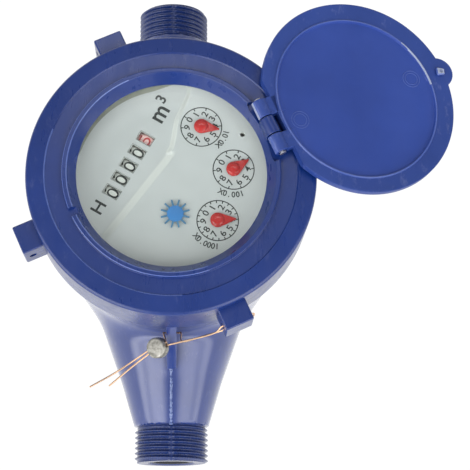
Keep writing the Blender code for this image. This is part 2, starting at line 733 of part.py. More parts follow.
def make_train():
    pointers = [polar(POINTER_CIRCLE, a) for a in POINTER_AZIMUTHS]
    star = polar(STAR_CIRCLE, STAR_AZIMUTH)
    centre = Vector((0, 0))
    low = lower_plate_low() + GAP
    idler_top = upper_plate_top() - GAP
    pointer_top = dial_top() + GAP / 3

    follower_module = 2 * STAR_CIRCLE / (FOLLOWER_TEETH + STAR_TEETH)
    to_star = meet(centre, star)
    arbor("follower_gear", centre, low + 0.6 * MM, idler_top,
          [(FOLLOWER_TEETH, follower_module, to_star, 4)])

    first_in = (STAR_PINION_TEETH + FIRST_TEETH) * FIRST_MODULE / 2
    first_out = (FIRST_PINION_TEETH + FIRST_POINTER_TEETH) * FIRST_MODULE / 2
    first = apex(star, pointers[0], first_in, first_out, -1)
    arbor("star_arbor", star, low, pointer_top,
          [(STAR_TEETH, follower_module, gap_towards(to_star + TURN / 2, STAR_TEETH), 4),
           (STAR_PINION_TEETH, FIRST_MODULE, meet(star, first), 1)])
    arbor("first_idler", first, low, idler_top,
          [(FIRST_TEETH, FIRST_MODULE, gap_towards(meet(first, star), FIRST_TEETH), 1),
           (FIRST_PINION_TEETH, FIRST_MODULE, meet(first, pointers[0]), 2)])

    step_in = (POINTER_PINION_TEETH + IDLER_TEETH) * TRAIN_MODULE / 2
    step_out = (IDLER_PINION_TEETH + POINTER_TEETH) * TRAIN_MODULE / 2
    idlers = [apex(pointers[i], pointers[i + 1], step_in, step_out, 1) for i in range(2)]
    crown = drum_point(crown_along())
    drum_module = 2 * (pointers[2] - crown).length / (DRUM_PINION_TEETH + CROWN_WHEEL_TEETH)
    pointer_gears = [
        [(FIRST_POINTER_TEETH, FIRST_MODULE,
          gap_towards(meet(pointers[0], first), FIRST_POINTER_TEETH), 2),
         (POINTER_PINION_TEETH, TRAIN_MODULE, meet(pointers[0], idlers[0]), 0)],
        [(POINTER_TEETH, TRAIN_MODULE, gap_towards(meet(pointers[1], idlers[0]), POINTER_TEETH), 1),
         (POINTER_PINION_TEETH, TRAIN_MODULE, meet(pointers[1], idlers[1]), 3)],
        [(POINTER_TEETH, TRAIN_MODULE, gap_towards(meet(pointers[2], idlers[1]), POINTER_TEETH), 4),
         (DRUM_PINION_TEETH, drum_module, meet(pointers[2], crown), 0)]]
    for i, name in enumerate(POINTER_NAMES):
        arbor("arbor_" + name, pointers[i], low, pointer_top, pointer_gears[i])
        make_pointer(name, pointers[i], POINTER_HEADINGS[i])
    for i, (name, wheel_layer, pinion_layer) in enumerate((("idler_a", 0, 1), ("idler_b", 3, 4))):
        arbor(name, idlers[i], low, idler_top,
              [(IDLER_TEETH, TRAIN_MODULE,
                gap_towards(meet(idlers[i], pointers[i]), IDLER_TEETH), wheel_layer),
               (IDLER_PINION_TEETH, TRAIN_MODULE, meet(idlers[i], pointers[i + 1]), pinion_layer)])
    make_crown(crown, drum_module, meet(crown, pointers[2]))
    make_star(star)
    return [centre, star, first] + pointers + idlers, crown



def make_pointer(name, place, heading):
    """A teardrop: a round hub with tangents to a narrow tip."""
    tangent = math.acos(POINTER_HUB_RADIUS / POINTER_REACH)
    outline = circle(POINTER_HUB_RADIUS, 10, start=heading + tangent, sweep=TURN - 2 * tangent)
    tip = polar(POINTER_REACH, heading)
    side = polar(0.15 * MM, heading + TURN / 4)
    outline += [tuple(tip - side), tuple(tip + side)]
    low = dial_top() + POINTER_CLEARANCE
    blade = prism("pointer_" + name, outline, low, low + POINTER_THICKNESS)
    join(blade, turned("dome", [(0, low), (1.7 * MM, low), (1.7 * MM, low + 1.0 * MM),
                                (0.9 * MM, low + 1.3 * MM), (0, low + 1.3 * MM)], 8))
    return done(blade, (0.75, 0.03, 0.03), 0.35, place=(*place, 0))


def make_star(place):
    """The flow indicator: a disc with straight rays."""
    step = TURN / STAR_POINTS
    points = []
    for i in range(STAR_POINTS):
        middle = i * step
        for radius, angle in ((STAR_RADIUS, middle - 0.05), (STAR_RADIUS, middle + 0.05),
                              (STAR_DISC_RADIUS, middle + step / 2)):
            points.append((radius * math.cos(angle), radius * math.sin(angle)))
    low = dial_top() + POINTER_CLEARANCE
    star = prism("star_wheel", points, low, low + STAR_THICKNESS)
    done(star, (0.04, 0.25, 0.65), 0.3, place=(*place, 0))


def make_crown(place, module, towards_pointer):
    """A stub arbor on a fixed post: a spur wheel with a small crown that turns the first drum."""
    wheel = gear("crown_gear", CROWN_WHEEL_TEETH, module, gap_towards(towards_pointer, CROWN_WHEEL_TEETH), 0)
    to_drum = DRUM_LINE_AZIMUTH + TURN / 2
    reach = drum_axis_height() - (DRUM_TEETH * CROWN_MODULE / 2 + ADDENDUM * CROWN_MODULE)
    crown = prism("crown", gear_outline(CROWN_TEETH, CROWN_MODULE, gap_towards(to_drum, CROWN_TEETH)),
                  layer(0), reach + ADDENDUM * CROWN_MODULE)
    join(wheel, crown)
    hole = bored(SHAFT_RADIUS, SMALL_FACETS)
    cut(wheel, disc("post_hole", hole, layer(0) - GAP, layer(0) + 10 * MM, SMALL_FACETS))
    done(wheel, (0.75, 0.74, 0.7), 0.5, place=(*place, 0))


# Number drums

def along_drum(obj, place, height):
    """Lay a piece turned about Z along the drum shaft, its origin at a plan position."""
    obj.data.transform(Matrix.Rotation(DRUM_LINE_AZIMUTH, 4, "Z") @ Matrix.Rotation(TURN / 4, 4, "Y"))
    return (*place, height)


def make_drums():
    height = drum_axis_height()
    names = ["drum_%d" % (i + 1) for i in range(DRUM_COUNT)]
    for i, name in enumerate(names):
        along = DRUM_LINE_SHIFT + (i - (DRUM_COUNT - 1) / 2) * DRUM_PITCH
        half = DRUM_PITCH / 2 - GAP / 2
        drum = turned(name, [(0, -half), (DRUM_RADIUS, -half), (DRUM_RADIUS, -half + DRUM_RIM),
                             (DRUM_HUB_RADIUS, -half + DRUM_RIM), (DRUM_HUB_RADIUS, half), (0, half)],
                      DRUM_FACETS)
        last = i == DRUM_COUNT - 1
        if last:
            outline = gear_outline(DRUM_TEETH, CROWN_MODULE, 0)
            join(drum, prism("drum_gear", outline, half - 0.4 * MM, half + 1.3 * MM))
        bore = bored(DRUM_SHAFT_RADIUS + GAP, SMALL_FACETS)
        cut(drum, disc("bore", bore, -2 * half, 2 * half, SMALL_FACETS))
        place = along_drum(drum, drum_point(along), height)
        done(drum, (0.8, 0.1, 0.1) if last else (0.85, 0.85, 0.82), 0.5, place=place)
    for i in range(DRUM_COUNT - 1):
        along = DRUM_LINE_SHIFT + (i - (DRUM_COUNT - 1) / 2 + 0.5) * DRUM_PITCH
        width = DRUM_PITCH - DRUM_RIM - 2 * GAP
        middle = -width / 2 - GAP / 2
        pinion = prism("carry_pinion_%d" % (i + 1), gear_outline(6, CARRY_RADIUS / 3.75, 0),
                       middle - width / 2, middle + width / 2)
        hole = bored(SHAFT_RADIUS + GAP, SMALL_FACETS)
        cut(pinion, disc("bore", hole, -10 * MM, 10 * MM, SMALL_FACETS))
        place = along_drum(pinion, drum_point(along, CARRY_OFFSET), height - CARRY_DROP)
        done(pinion, (0.75, 0.74, 0.7), 0.5, place=place)
    start, end = bracket_places()
    for name, radius, across, drop in (("drum_shaft", DRUM_SHAFT_RADIUS, 0, 0),
                                       ("carry_shaft", SHAFT_RADIUS, CARRY_OFFSET, CARRY_DROP)):
        shaft = disc(name, radius, start - BRACKET_THICKNESS, end + BRACKET_THICKNESS, SMALL_FACETS)
        place = along_drum(shaft, drum_point(0, across), height - drop)
        done(shaft, (0.6, 0.6, 0.6), 0.3, 1.0, place=place)


def bracket_places():
    """Inner faces of the two brackets, along the drum shaft."""
    half = DRUM_COUNT * DRUM_PITCH / 2
    return DRUM_LINE_SHIFT - half - 0.4 * MM, crown_along() + 3.2 * MM


# Dial and the two plates

def make_dial():
    low, top = dial_low(), dial_top()
    radius = CUP_RADIUS - CUP_WALL - GAP
    dial = disc("dial", radius, low, top, INNER_FACETS)
    t = DRUM_LINE_AZIMUTH
    edge = DRUM_LINE_OFFSET - 5.4 * MM
    field = block("field", (-2 * radius, edge, top - DIAL_RECESS), (2 * radius, 2 * radius, top + GAP))
    cut(dial, at(field, spin=t))
    for i in range(DRUM_COUNT):
        along = DRUM_LINE_SHIFT + (i - (DRUM_COUNT - 1) / 2) * DRUM_PITCH - 0.6 * MM
        centre = drum_point(along)
        w, h = DRUM_WINDOW
        hole = block("window", (-w / 2, -h / 2, low - GAP), (w / 2, h / 2, top))
        cut(dial, at(hole, (*centre, 0), spin=t))
    for place in [polar(POINTER_CIRCLE, a) for a in POINTER_AZIMUTHS] + [polar(STAR_CIRCLE, STAR_AZIMUTH)]:
        hole = disc("hole", bored(SHAFT_RADIUS + GAP, SMALL_FACETS), low - GAP, top + GAP, SMALL_FACETS)
        cut(dial, at(hole, (*place, 0)))
    done(dial, (0.55, 0.58, 0.56), 0.4)


def make_plates(arbors, crown):
    low = lower_plate_low()
    top = low + LOWER_PLATE_THICKNESS
    upper_low, upper_top = upper_plate_low(), upper_plate_top()
    lower = ring("lower_plate", MAGNET_POCKET_RADIUS, PLATE_RADIUS, low, top, INNER_FACETS)
    upper = disc("upper_plate", PLATE_RADIUS, upper_low, upper_top, INNER_FACETS)
    t = DRUM_LINE_AZIMUTH
    start, end = bracket_places()
    across = DRUM_LINE_OFFSET
    clear = DRUM_RADIUS + 2 * GAP
    well = block("well", (start - BRACKET_THICKNESS, across - clear, upper_low - GAP),
                 (end + BRACKET_THICKNESS, across + clear + 1 * MM, upper_top + GAP))
    cut(upper, at(well, spin=t))
    foot = drum_axis_height() - CARRY_DROP - 1.6 * MM
    for near, far in ((start - BRACKET_THICKNESS, start), (end, end + BRACKET_THICKNESS)):
        cheek = block("cheek", (near, across - 2.2 * MM, foot),
                      (far, across + clear + 1.2 * MM, upper_top))
        join(upper, at(cheek, spin=t))
    for radius, offset, drop in ((DRUM_SHAFT_RADIUS, 0, 0), (SHAFT_RADIUS, CARRY_OFFSET, CARRY_DROP)):
        centre = Vector((*drum_point((start + end) / 2, offset), drum_axis_height() - drop))
        cut(upper, cross_hole(centre, radius + GAP, 2 * (end - start), t))
    for place in arbors:
        hole = bored(SHAFT_RADIUS + GAP, SMALL_FACETS)
        if place.length > MAGNET_POCKET_RADIUS:
            cut(lower, at(disc("pivot", hole, low - GAP, top + GAP, SMALL_FACETS), (*place, 0)))
        cut(upper, at(disc("pivot", hole, upper_low - GAP, upper_top + GAP, SMALL_FACETS), (*place, 0)))
    for azimuth in PILLAR_AZIMUTHS:
        pillar = disc("pillar", PILLAR_RADIUS, low + GAP, upper_low - GAP, SMALL_FACETS)
        join(lower, at(pillar, (*polar(PILLAR_CIRCLE, azimuth), 0)))
    post_top = layer(0) + 3 * GEAR_THICKNESS
    join(lower, at(disc("post", SHAFT_RADIUS - GAP, low + GAP, post_top, SMALL_FACETS), (*crown, 0)))
    done(lower, (0.8, 0.8, 0.78), 0.5)
    done(upper, (0.8, 0.8, 0.78), 0.5)


# Measuring chamber, impeller and magnets

def jet_cutters(low, high, lean):
    """Slots through the chamber's wall, set at a slant to drive the impeller round."""
    cutters = []
    for i in range(JET_COUNT):
        slot = block("jet", (-6 * MM, -JET_WIDTH / 2, low), (6 * MM, JET_WIDTH / 2, high))
        azimuth = TURN * i / JET_COUNT
        place = polar(CHAMBER_RADIUS - CHAMBER_WALL / 2, azimuth)
        cutters.append(at(slot, (*place, 0), spin=azimuth + lean))
    return cutters


def make_chamber():
    inner = CHAMBER_RADIUS - CHAMBER_WALL
    seat = shelf_height() + GAP
    bottom = BOWL_FLOOR + CHAMBER_LIFT
    floor = bottom + CHAMBER_FLOOR
    cup = [(0, bottom), (CHAMBER_RADIUS, bottom), (CHAMBER_RADIUS, seat), (FLANGE_RADIUS, seat),
           (FLANGE_RADIUS, seat + FLANGE_HEIGHT), (inner, seat + FLANGE_HEIGHT), (inner, floor), (0, floor)]
    lower = turned("chamber_lower", cup, 20)
    jet_low = (floor + seat - INLET_JET_HEIGHT) / 2
    cut(lower, *jet_cutters(jet_low, jet_low + INLET_JET_HEIGHT, JET_LEAN))
    done(lower, (0.85, 0.85, 0.82), 0.5)
    base = seat + FLANGE_HEIGHT + GAP
    roof_low = LEDGE_HEIGHT - ROOF_DROP
    roof = roof_low + ROOF_THICKNESS
    top = pressure_plate_low() - GAP
    hole = IMPELLER_NECK_RADIUS + 0.8 * MM
    upper_profile = [(inner, base), (FLANGE_RADIUS, base), (FLANGE_RADIUS, base + FLANGE_HEIGHT),
                     (CHAMBER_RADIUS, base + FLANGE_HEIGHT), (CHAMBER_RADIUS, top), (inner, top),
                     (inner, roof), (hole, roof), (hole, roof_low), (inner, roof_low)]
    upper = turned("chamber_upper", upper_profile, 20)
    jet_low = (base + FLANGE_HEIGHT + roof_low - OUTLET_JET_HEIGHT) / 2
    cut(upper, *jet_cutters(jet_low, jet_low + OUTLET_JET_HEIGHT, -JET_LEAN))
    done(upper, (0.85, 0.85, 0.82), 0.5)

    pivot_low = floor + GAP
    pin = disc("pivot_pin", PIVOT_RADIUS, pivot_low, pivot_low + PIVOT_LENGTH, SMALL_FACETS)
    done(pin, (0.6, 0.6, 0.6), 0.2, 1.0)
    hub_low = floor + 2 * MM
    neck_top = pressure_plate_low() - BODY_GASKET_THICKNESS
    hub = turned("impeller", [(0, hub_low), (HUB_RADIUS, hub_low), (HUB_RADIUS, roof_low - 3 * MM),
                              (IMPELLER_NECK_RADIUS, roof_low - 2 * MM), (IMPELLER_NECK_RADIUS, neck_top),
                              (0, neck_top)], 12)
    for i in range(IMPELLER_BLADES):
        blade = block("blade", (HUB_RADIUS / 2, -BLADE_THICKNESS / 2, hub_low + 2 * MM),
                      (IMPELLER_RADIUS, BLADE_THICKNESS / 2, roof_low - 4 * MM))
        join(hub, at(blade, spin=TURN * i / IMPELLER_BLADES))
    socket = bored(PIVOT_RADIUS + GAP, SMALL_FACETS)
    cut(hub, disc("socket", socket, hub_low - GAP, pivot_low + PIVOT_LENGTH + GAP, SMALL_FACETS))
    done(hub, (0.8, 0.8, 0.78), 0.5)
    done(disc("drive_magnet", MAGNET_RADIUS, neck_top + GAP, neck_top + GAP + MAGNET_HEIGHT, 12),
         (0.1, 0.1, 0.1), 0.4, 0.6)
    follower = disc("follower_magnet", FOLLOWER_MAGNET_RADIUS, cup_floor() + GAP,
                    lower_plate_low() + 2 * GAP, 12)
    done(follower, (0.1, 0.1, 0.1), 0.4, 0.6)


def make_strainer():
    """A slotted basket just inside the inlet."""
    outer = BORE_RADIUS - GAP
    inner = outer - STRAINER_WALL
    end = LAY_LENGTH / 2 - GAP
    start = end - STRAINER_LENGTH
    basket = turned("inlet_strainer", [(0, start), (outer, start), (outer, end), (inner, end),
                                       (inner, start + STRAINER_WALL), (0, start + STRAINER_WALL)], 12)
    for x in (-3, 0, 3):
        slot = block("slot", (x * MM - 0.6 * MM, -4 * MM, start - GAP),
                     (x * MM + 0.6 * MM, 4 * MM, start + 2 * STRAINER_WALL))
        cut(basket, slot)
    at(basket, (0, 0, PIPE_HEIGHT), tilt=Matrix.Rotation(TURN / 4, 4, "X"))
    done(basket, (0.85, 0.85, 0.82), 0.5)


# Seal: a formed copper wire in two strands, and a crimped pellet

def tube(name, points, radius):
    """A wire along smooth points, with closed ends."""
    curve = bpy.data.curves.new(name, "CURVE")
    curve.dimensions = "3D"
    curve.bevel_depth = radius
    curve.bevel_resolution = 1
    curve.use_fill_caps = True
    spline = curve.splines.new("POLY")
    spline.points.add(len(points) - 1)
    for spot, point in zip(spline.points, points):
        spot.co = (*point, 1)
    obj = bpy.data.objects.new(name, curve)
    bpy.context.scene.collection.objects.link(obj)
    curve.materials.append(material(name, (0.70, 0.42, 0.26), 0.3, 1.0))
    return obj


def smooth(points, steps):
    """Catmull-Rom points through a hand-chosen route."""
    points = [Vector(p) for p in points]
    ends = [2 * points[0] - points[1]] + points + [2 * points[-1] - points[-2]]
    route = []
    for a, b, c, d in zip(ends, ends[1:], ends[2:], ends[3:]):
        for i in range(steps):
            u = i / steps
            route.append(0.5 * ((2 * b) + (c - a) * u + (2 * a - 5 * b + 4 * c - d) * u * u
                                + (3 * b - a - 3 * c + d) * u ** 3))
    return route + [points[-1]]


def pellet_frame():
    """Centre of the pellet, the way of the wire through it and half the step between strands."""
    centre = rib_eye() + Vector(PELLET_OFFSET)
    run = Vector(WIRE_RUN).normalized()
    side = run.cross(Vector((0, 0, 1))).normalized() * (WIRE_RADIUS + GAP / 2)
    return centre, run, side


def make_seal():
    """The wire runs tail, pellet, lug, back under the lug, rib, pellet, tail."""
    centre, run, side = pellet_frame()
    azimuth = lug_azimuths()[-1]
    lug = lug_hole(azimuth)
    along = Vector((*polar(1, azimuth + TURN / 4), 0))
    half = LUG_WIDTH / 2 * along
    eye_point = rib_eye()
    through = run * (PELLET_RADIUS + 0.4 * MM)
    rib = Vector((0.8 * RIB_THICKNESS, 0, 0))
    tail = [centre + Vector((-15.9, -12.1, -3.0)) * MM, centre + Vector((-9.5, -6.4, -4.2)) * MM,
            centre - through + side]
    rise = [centre + through + side, lug - half + Vector((-3.4, -1.8, -4.0)) * MM,
            lug - half - 0.1 * half]
    back = [lug + half + 0.1 * half, lug + half + Vector((1.5, 0.5, -2.2)) * MM,
            lug + half + Vector((0.6, 0.1, -7.2)) * MM, lug + Vector((-1.0, -0.6, -8.8)) * MM,
            eye_point + Vector((9.0, -0.6, 5.0)) * MM, eye_point + rib]
    hook = [eye_point - rib, centre + through - side]
    other_tail = [centre - through - side, centre + Vector((-13.2, -6.9, -5.0)) * MM,
                  centre + Vector((-22.0, -12.7, -1.0)) * MM]
    route = []
    for span in (tail, rise, back, hook, other_tail):
        route += smooth(span, 2)
    tube("seal_wire", route, WIRE_RADIUS)
    squeezed = PELLET_THICKNESS / 2
    pellet = turned("seal_pellet", [(0, -squeezed), (PELLET_RADIUS * 0.8, -squeezed),
                                    (PELLET_RADIUS, -squeezed * 0.5), (PELLET_RADIUS, squeezed * 0.5),
                                    (PELLET_RADIUS * 0.8, squeezed), (0, squeezed)], 12)
    clear = WIRE_RADIUS + GAP
    slot = block("slot", (-2 * PELLET_RADIUS, -clear - side.length, -clear),
                 (2 * PELLET_RADIUS, clear + side.length, clear))
    cut(pellet, slot)
    upright = run.cross(side.normalized()).normalized()
    basis = Matrix((run, side.normalized(), upright)).transposed().to_4x4()
    pellet.data.transform(Matrix.Translation(centre) @ basis)
    done(pellet, (0.45, 0.45, 0.43), 0.5, 0.7)


def main():
    for obj in list(bpy.data.objects):
        bpy.data.objects.remove(obj)
    make_body()
    make_ring()
    make_hinge()
    make_housing()
    arbors, crown = make_train()
    make_drums()
    make_dial()
    make_plates(arbors, crown)
    make_chamber()
    make_strainer()
    make_seal()


main()
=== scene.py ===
"""The visual model of the water meter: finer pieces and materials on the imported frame."""
import math

import bmesh
import bpy
import numpy as np
from mathutils import Matrix, Vector


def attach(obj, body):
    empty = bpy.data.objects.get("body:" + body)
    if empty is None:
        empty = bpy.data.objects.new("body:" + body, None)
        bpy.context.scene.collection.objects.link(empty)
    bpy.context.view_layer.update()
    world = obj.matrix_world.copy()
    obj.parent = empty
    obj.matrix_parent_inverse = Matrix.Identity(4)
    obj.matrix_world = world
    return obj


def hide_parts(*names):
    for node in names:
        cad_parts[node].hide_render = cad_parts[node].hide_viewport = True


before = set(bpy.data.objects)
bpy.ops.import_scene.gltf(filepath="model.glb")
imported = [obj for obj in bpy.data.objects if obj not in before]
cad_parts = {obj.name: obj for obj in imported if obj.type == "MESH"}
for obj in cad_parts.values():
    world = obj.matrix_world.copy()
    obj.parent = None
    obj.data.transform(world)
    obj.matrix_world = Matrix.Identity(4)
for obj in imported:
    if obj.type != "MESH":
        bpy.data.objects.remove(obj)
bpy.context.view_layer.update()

# Places and sizes are millimetres in the CAD frame, unless a comment says otherwise
MM = 0.001
TURN = 2 * math.pi
PIPE_Z = 31.0  # axis of the pipe
PIPE_END = 85.0  # end faces, from the middle
BORE = 7.6
NECK_END = 72.4  # where the necks meet the threads
HINGE_AZ = math.radians(24.2)
HINGE_OUT = 34
HINGE = Vector((HINGE_OUT * math.cos(HINGE_AZ), HINGE_OUT * math.sin(HINGE_AZ), 105.0))
OPEN_TURN = math.radians(192.5)  # of the lid, from shut to its place at rest
DRUM_AZ = math.radians(59.8)  # of the drum shaft, and of the reading line
HOUSING = "housing"


# Node helpers

class Tree:
    """Short names for building a node tree."""

    def __init__(self, tree):
        self.tree = tree

    def link(self, a, b):
        self.tree.links.new(a, b)

    def plug(self, socket, value):
        """Gives a socket a constant or another node's output."""
        if isinstance(value, bpy.types.NodeSocket):
            self.link(value, socket)
        else:
            socket.default_value = value

    def feed(self, node, **inputs):
        for key, value in inputs.items():
            self.plug(node.inputs[key.replace("_", " ")], value)
        return node

    def new(self, kind, **inputs):
        return self.feed(self.tree.nodes.new(kind), **inputs)

    def math(self, operation, *values):
        node = self.new("ShaderNodeMath")
        node.operation = operation
        for socket, value in zip(node.inputs, values):
            self.plug(socket, value)
        return node.outputs[0]

    def product(self, first, *others):
        for other in others:
            first = self.math("MULTIPLY", first, other)
        return first

    def total(self, first, *others):
        for other in others:
            first = self.math("ADD", first, other)
        return first

    def span(self, value, low, high, out_low=0.0, out_high=1.0):
        return self.new("ShaderNodeMapRange", Value=value, From_Min=low, From_Max=high,
                        To_Min=out_low, To_Max=out_high).outputs["Result"]

    def step(self, value, low, high):
        """Rises smoothly from 0 at low to 1 at high."""
        out = self.span(value, low, high)
        out.node.interpolation_type = "SMOOTHSTEP"
        return out

    def between(self, value, low, full_low, full_high, high):
        """Is 1 between the middle two values, and fades to 0 at the outer two."""
        return self.product(self.step(value, low, full_low), self.step(value, high, full_high))

    def mix_shader(self, factor, first, second):
        node = self.new("ShaderNodeMixShader")
        for socket, value in zip(node.inputs, (factor, first.outputs[0], second.outputs[0])):
            self.plug(socket, value)
        return node.outputs[0]


class Nodes(Tree):
    """A material and its node tree."""

    def __init__(self, name):
        self.mat = bpy.data.materials.new(name)
        self.mat.use_nodes = True
        super().__init__(self.mat.node_tree)
        self.shader = self.tree.nodes["Principled BSDF"]
        self.surface = self.tree.nodes["Material Output"].inputs["Surface"]

    def place(self):
        return self.new("ShaderNodeTexCoord").outputs["Object"]

    def noise(self, scale, detail=2.0, roughness=0.5, stretch=None):
        where = self.place()
        if stretch:
            where = self.new("ShaderNodeMapping", Vector=where, Scale=stretch).outputs["Vector"]
        return self.new("ShaderNodeTexNoise", Vector=where, Scale=scale, Detail=detail,
                        Roughness=roughness).outputs["Fac"]

    def mix(self, factor, first, second):
        """Colours are tuples of three or another node's output."""
        node = self.new("ShaderNodeMix")
        node.data_type = "RGBA"
        self.plug(node.inputs["Factor"], factor)
        for socket, value in ((node.inputs[6], first), (node.inputs[7], second)):
            self.plug(socket, (*value, 1.0) if isinstance(value, tuple) else value)
        return node.outputs[2]

    def bump(self, height, strength, distance=0.0002, before=None):
        node = self.new("ShaderNodeBump", Height=height, Strength=strength, Distance=distance)
        if before:
            self.feed(node, Normal=before)
        return node.outputs["Normal"]


def linear(r, g, b):
    """Linear values of an sRGB colour given 0 to 255."""
    return tuple((c / 255 / 12.92) if c <= 10 else ((c / 255 + 0.055) / 1.055) ** 2.4 for c in (r, g, b))


def blue_plastic(name, colour, roughness, wave=0.12, coat=0.0, scuffs=0.0):
    """Moulded gloss plastic with slight colour drift, a faint skin texture and fine rubbed lines.

    wave is the strength of the slow unevenness, and scuffs the share of pale colour in the light marks.
    """
    n = Nodes(name)
    dark = tuple(c * 0.90 for c in colour)
    light = tuple(min(1.0, c * 1.10 + 0.003) for c in colour)
    tone = n.mix(n.span(n.noise(45, 4, 0.6), 0.3, 0.7), dark, light)
    if scuffs:
        pale = tuple(c + 0.22 for c in colour)
        tone = n.mix(n.span(n.noise(420, 6, 0.75, (1.0, 0.4, 1.0)), 0.56, 0.74, 0, scuffs), tone, pale)
    rubbed = n.noise(320, 3, 0.6, (1.0, 0.2, 1.0))
    slow = n.bump(n.noise(70, 1), wave, 0.0004)
    n.feed(n.shader, Base_Color=tone, Roughness=n.span(rubbed, 0.35, 0.75, roughness, roughness + 0.12),
           Normal=n.bump(n.noise(1800, 3, 0.6), 0.05, 0.00005, slow), IOR=1.5,
           Coat_Weight=coat, Coat_Roughness=0.16, Coat_IOR=1.5)
    return n.mat


def plain(name, colour, roughness, metallic=0.0, grain=900, depth=0.08, drift=0.06):
    """A surface with a fine grain, a little colour drift and uneven gloss."""
    n = Nodes(name)
    dark = tuple(c * (1 - drift) for c in colour)
    light = tuple(min(1.0, c * (1 + drift)) for c in colour)
    gloss = n.span(n.noise(grain, 2), 0.3, 0.7, roughness * 0.85, min(1.0, roughness * 1.15))
    n.feed(n.shader, Base_Color=n.mix(n.span(n.noise(160, 3), 0.3, 0.7), dark, light), Roughness=gloss,
           Normal=n.bump(n.noise(grain, 3), depth, 0.0001), Metallic=metallic)
    return n.mat


# Mesh helpers, all in millimetres until a mesh is made

def bands(rows, columns, closed=True):
    """Quads between rows of vertices with the same number of columns."""
    return [(i * columns + k, i * columns + (k + 1) % columns,
             (i + 1) * columns + (k + 1) % columns, (i + 1) * columns + k)
            for i in range(rows - 1) for k in range(columns if closed else columns - 1)]


def new_object(name, data):
    obj = bpy.data.objects.new(name, data)
    bpy.context.scene.collection.objects.link(obj)
    return obj


def mesh_object(name, verts, faces, angle=35):
    mesh = bpy.data.meshes.new(name)
    mesh.from_pydata([tuple(c * MM for c in v) for v in verts], [], faces)
    mesh.validate()
    return shade(new_object(name, mesh), angle)


def shade(obj, angle=35):
    """Outward faces, smooth up to an angle in degrees."""
    bm = bmesh.new()
    bm.from_mesh(obj.data)
    bmesh.ops.recalc_face_normals(bm, faces=bm.faces)
    bm.to_mesh(obj.data)
    bm.free()
    obj.data.shade_smooth()
    obj.data.set_sharp_from_angle(angle=math.radians(angle))
    return obj


def rounded(points, radii, steps=3):
    """An outline with its corners rounded, each by its own radius."""
    out = []
    for i, (point, r) in enumerate(zip(points, radii)):
        p = Vector(point)
        a, b = (Vector(points[k % len(points)]) - p for k in (i - 1, i + 1))
        half = a.angle(b, math.pi) / 2
        if r <= 0 or half > math.pi / 2 - 1e-3:
            out.append(tuple(p))
            continue
        reach = min(r / math.tan(half), 0.49 * min(a.length, b.length))
        start, end = p + a.normalized() * reach, p + b.normalized() * reach
        for k in range(steps + 1):
            u = k / steps
            out.append(tuple(start * (1 - u) ** 2 + p * 2 * u * (1 - u) + end * u * u))
    return out


def lathe(name, profile, segments, angle=35):
    """Turns a closed outline of (radius, height) points. Points on the axis become one vertex."""
    verts, index = [], []
    for r, z in profile:
        if r < 1e-6:
            index.append([len(verts)] * segments)
            verts.append((0, 0, z))
        else:
            index.append(list(range(len(verts), len(verts) + segments)))
            verts += [(x, y, z) for x, y in circle(r, segments)]
    faces = []
    rows = list(zip(index, index[1:]))
    if profile[0][0] > 1e-6 or profile[-1][0] > 1e-6:
        rows.append((index[-1], index[0]))
    for low, high in rows:
        for k in range(segments):
            j = (k + 1) % segments
            face = list(dict.fromkeys((low[k], low[j], high[j], high[k])))
            if len(face) > 2:
                faces.append(face)
    return mesh_object(name, verts, faces, angle)


def prism(name, outline, low, high, bevel=0.0, steps=2):
    """An outline in the XY plane raised from low to high."""
    count = len(outline)
    verts = [(x, y, low) for x, y in outline] + [(x, y, high) for x, y in outline]
    faces = [list(range(count))[::-1], list(range(count, 2 * count))] + bands(2, count)
    obj = mesh_object(name, verts, faces)
    return bevelled(obj, bevel, steps) if bevel else obj


def bevelled(obj, width, steps):
    bevel = obj.modifiers.new("bevel", "BEVEL")
    bevel.width = width * MM
    bevel.segments = steps
    bevel.limit_method = "ANGLE"
    bevel.angle_limit = math.radians(30)
    apply_all(obj)
    return shade(obj)


def block(name, low, high, bevel=0.0, steps=2):
    outline = [(low[0], low[1]), (high[0], low[1]), (high[0], high[1]), (low[0], high[1])]
    return prism(name, outline, low[2], high[2], bevel, steps)


def around(centre, radius, angle):
    return (centre[0] + radius * math.cos(angle), centre[1] + radius * math.sin(angle))


def circle(radius, count, centre=(0, 0)):
    return [around(centre, radius, TURN * k / count) for k in range(count)]


def disc(name, radius, low, high, count=48, bevel=0.0):
    return prism(name, circle(radius, count), low, high, bevel)


def final_mesh(obj):
    """A new mesh from an object with modifiers or from a text."""
    graph = bpy.context.evaluated_depsgraph_get()
    return bpy.data.meshes.new_from_object(obj.evaluated_get(graph))


def apply_all(obj):
    """Turns the modifiers into mesh."""
    result = final_mesh(obj)
    obj.modifiers.clear()
    obj.data = result
    return obj


def boolean(target, tool, operation):
    step = target.modifiers.new("step", "BOOLEAN")
    step.operation = operation
    step.solver = "EXACT"
    step.object = tool
    apply_all(target)
    bpy.data.objects.remove(tool)
    return target


def join(target, tool):
    return boolean(target, tool, "UNION")


def cut(target, tool):
    return boolean(target, tool, "DIFFERENCE")


def at(obj, place=(0, 0, 0), spin=0.0, tilt=None):
    """Tilts the object, turns it about Z and moves it."""
    turned = Matrix.Rotation(spin, 4, "Z") @ (tilt or Matrix.Identity(4))
    obj.data.transform(Matrix.Translation(Vector(place) * MM) @ turned)
    return obj


def quarter(axis, sign=1):
    return Matrix.Rotation(sign * TURN / 4, 4, axis)


def merged(name, objects):
    """One object from several, without a Boolean."""
    bm = bmesh.new()
    for obj in objects:
        bm.from_mesh(obj.data)
        bpy.data.objects.remove(obj)
    mesh = bpy.data.meshes.new(name)
    bm.to_mesh(mesh)
    bm.free()
    return shade(new_object(name, mesh))


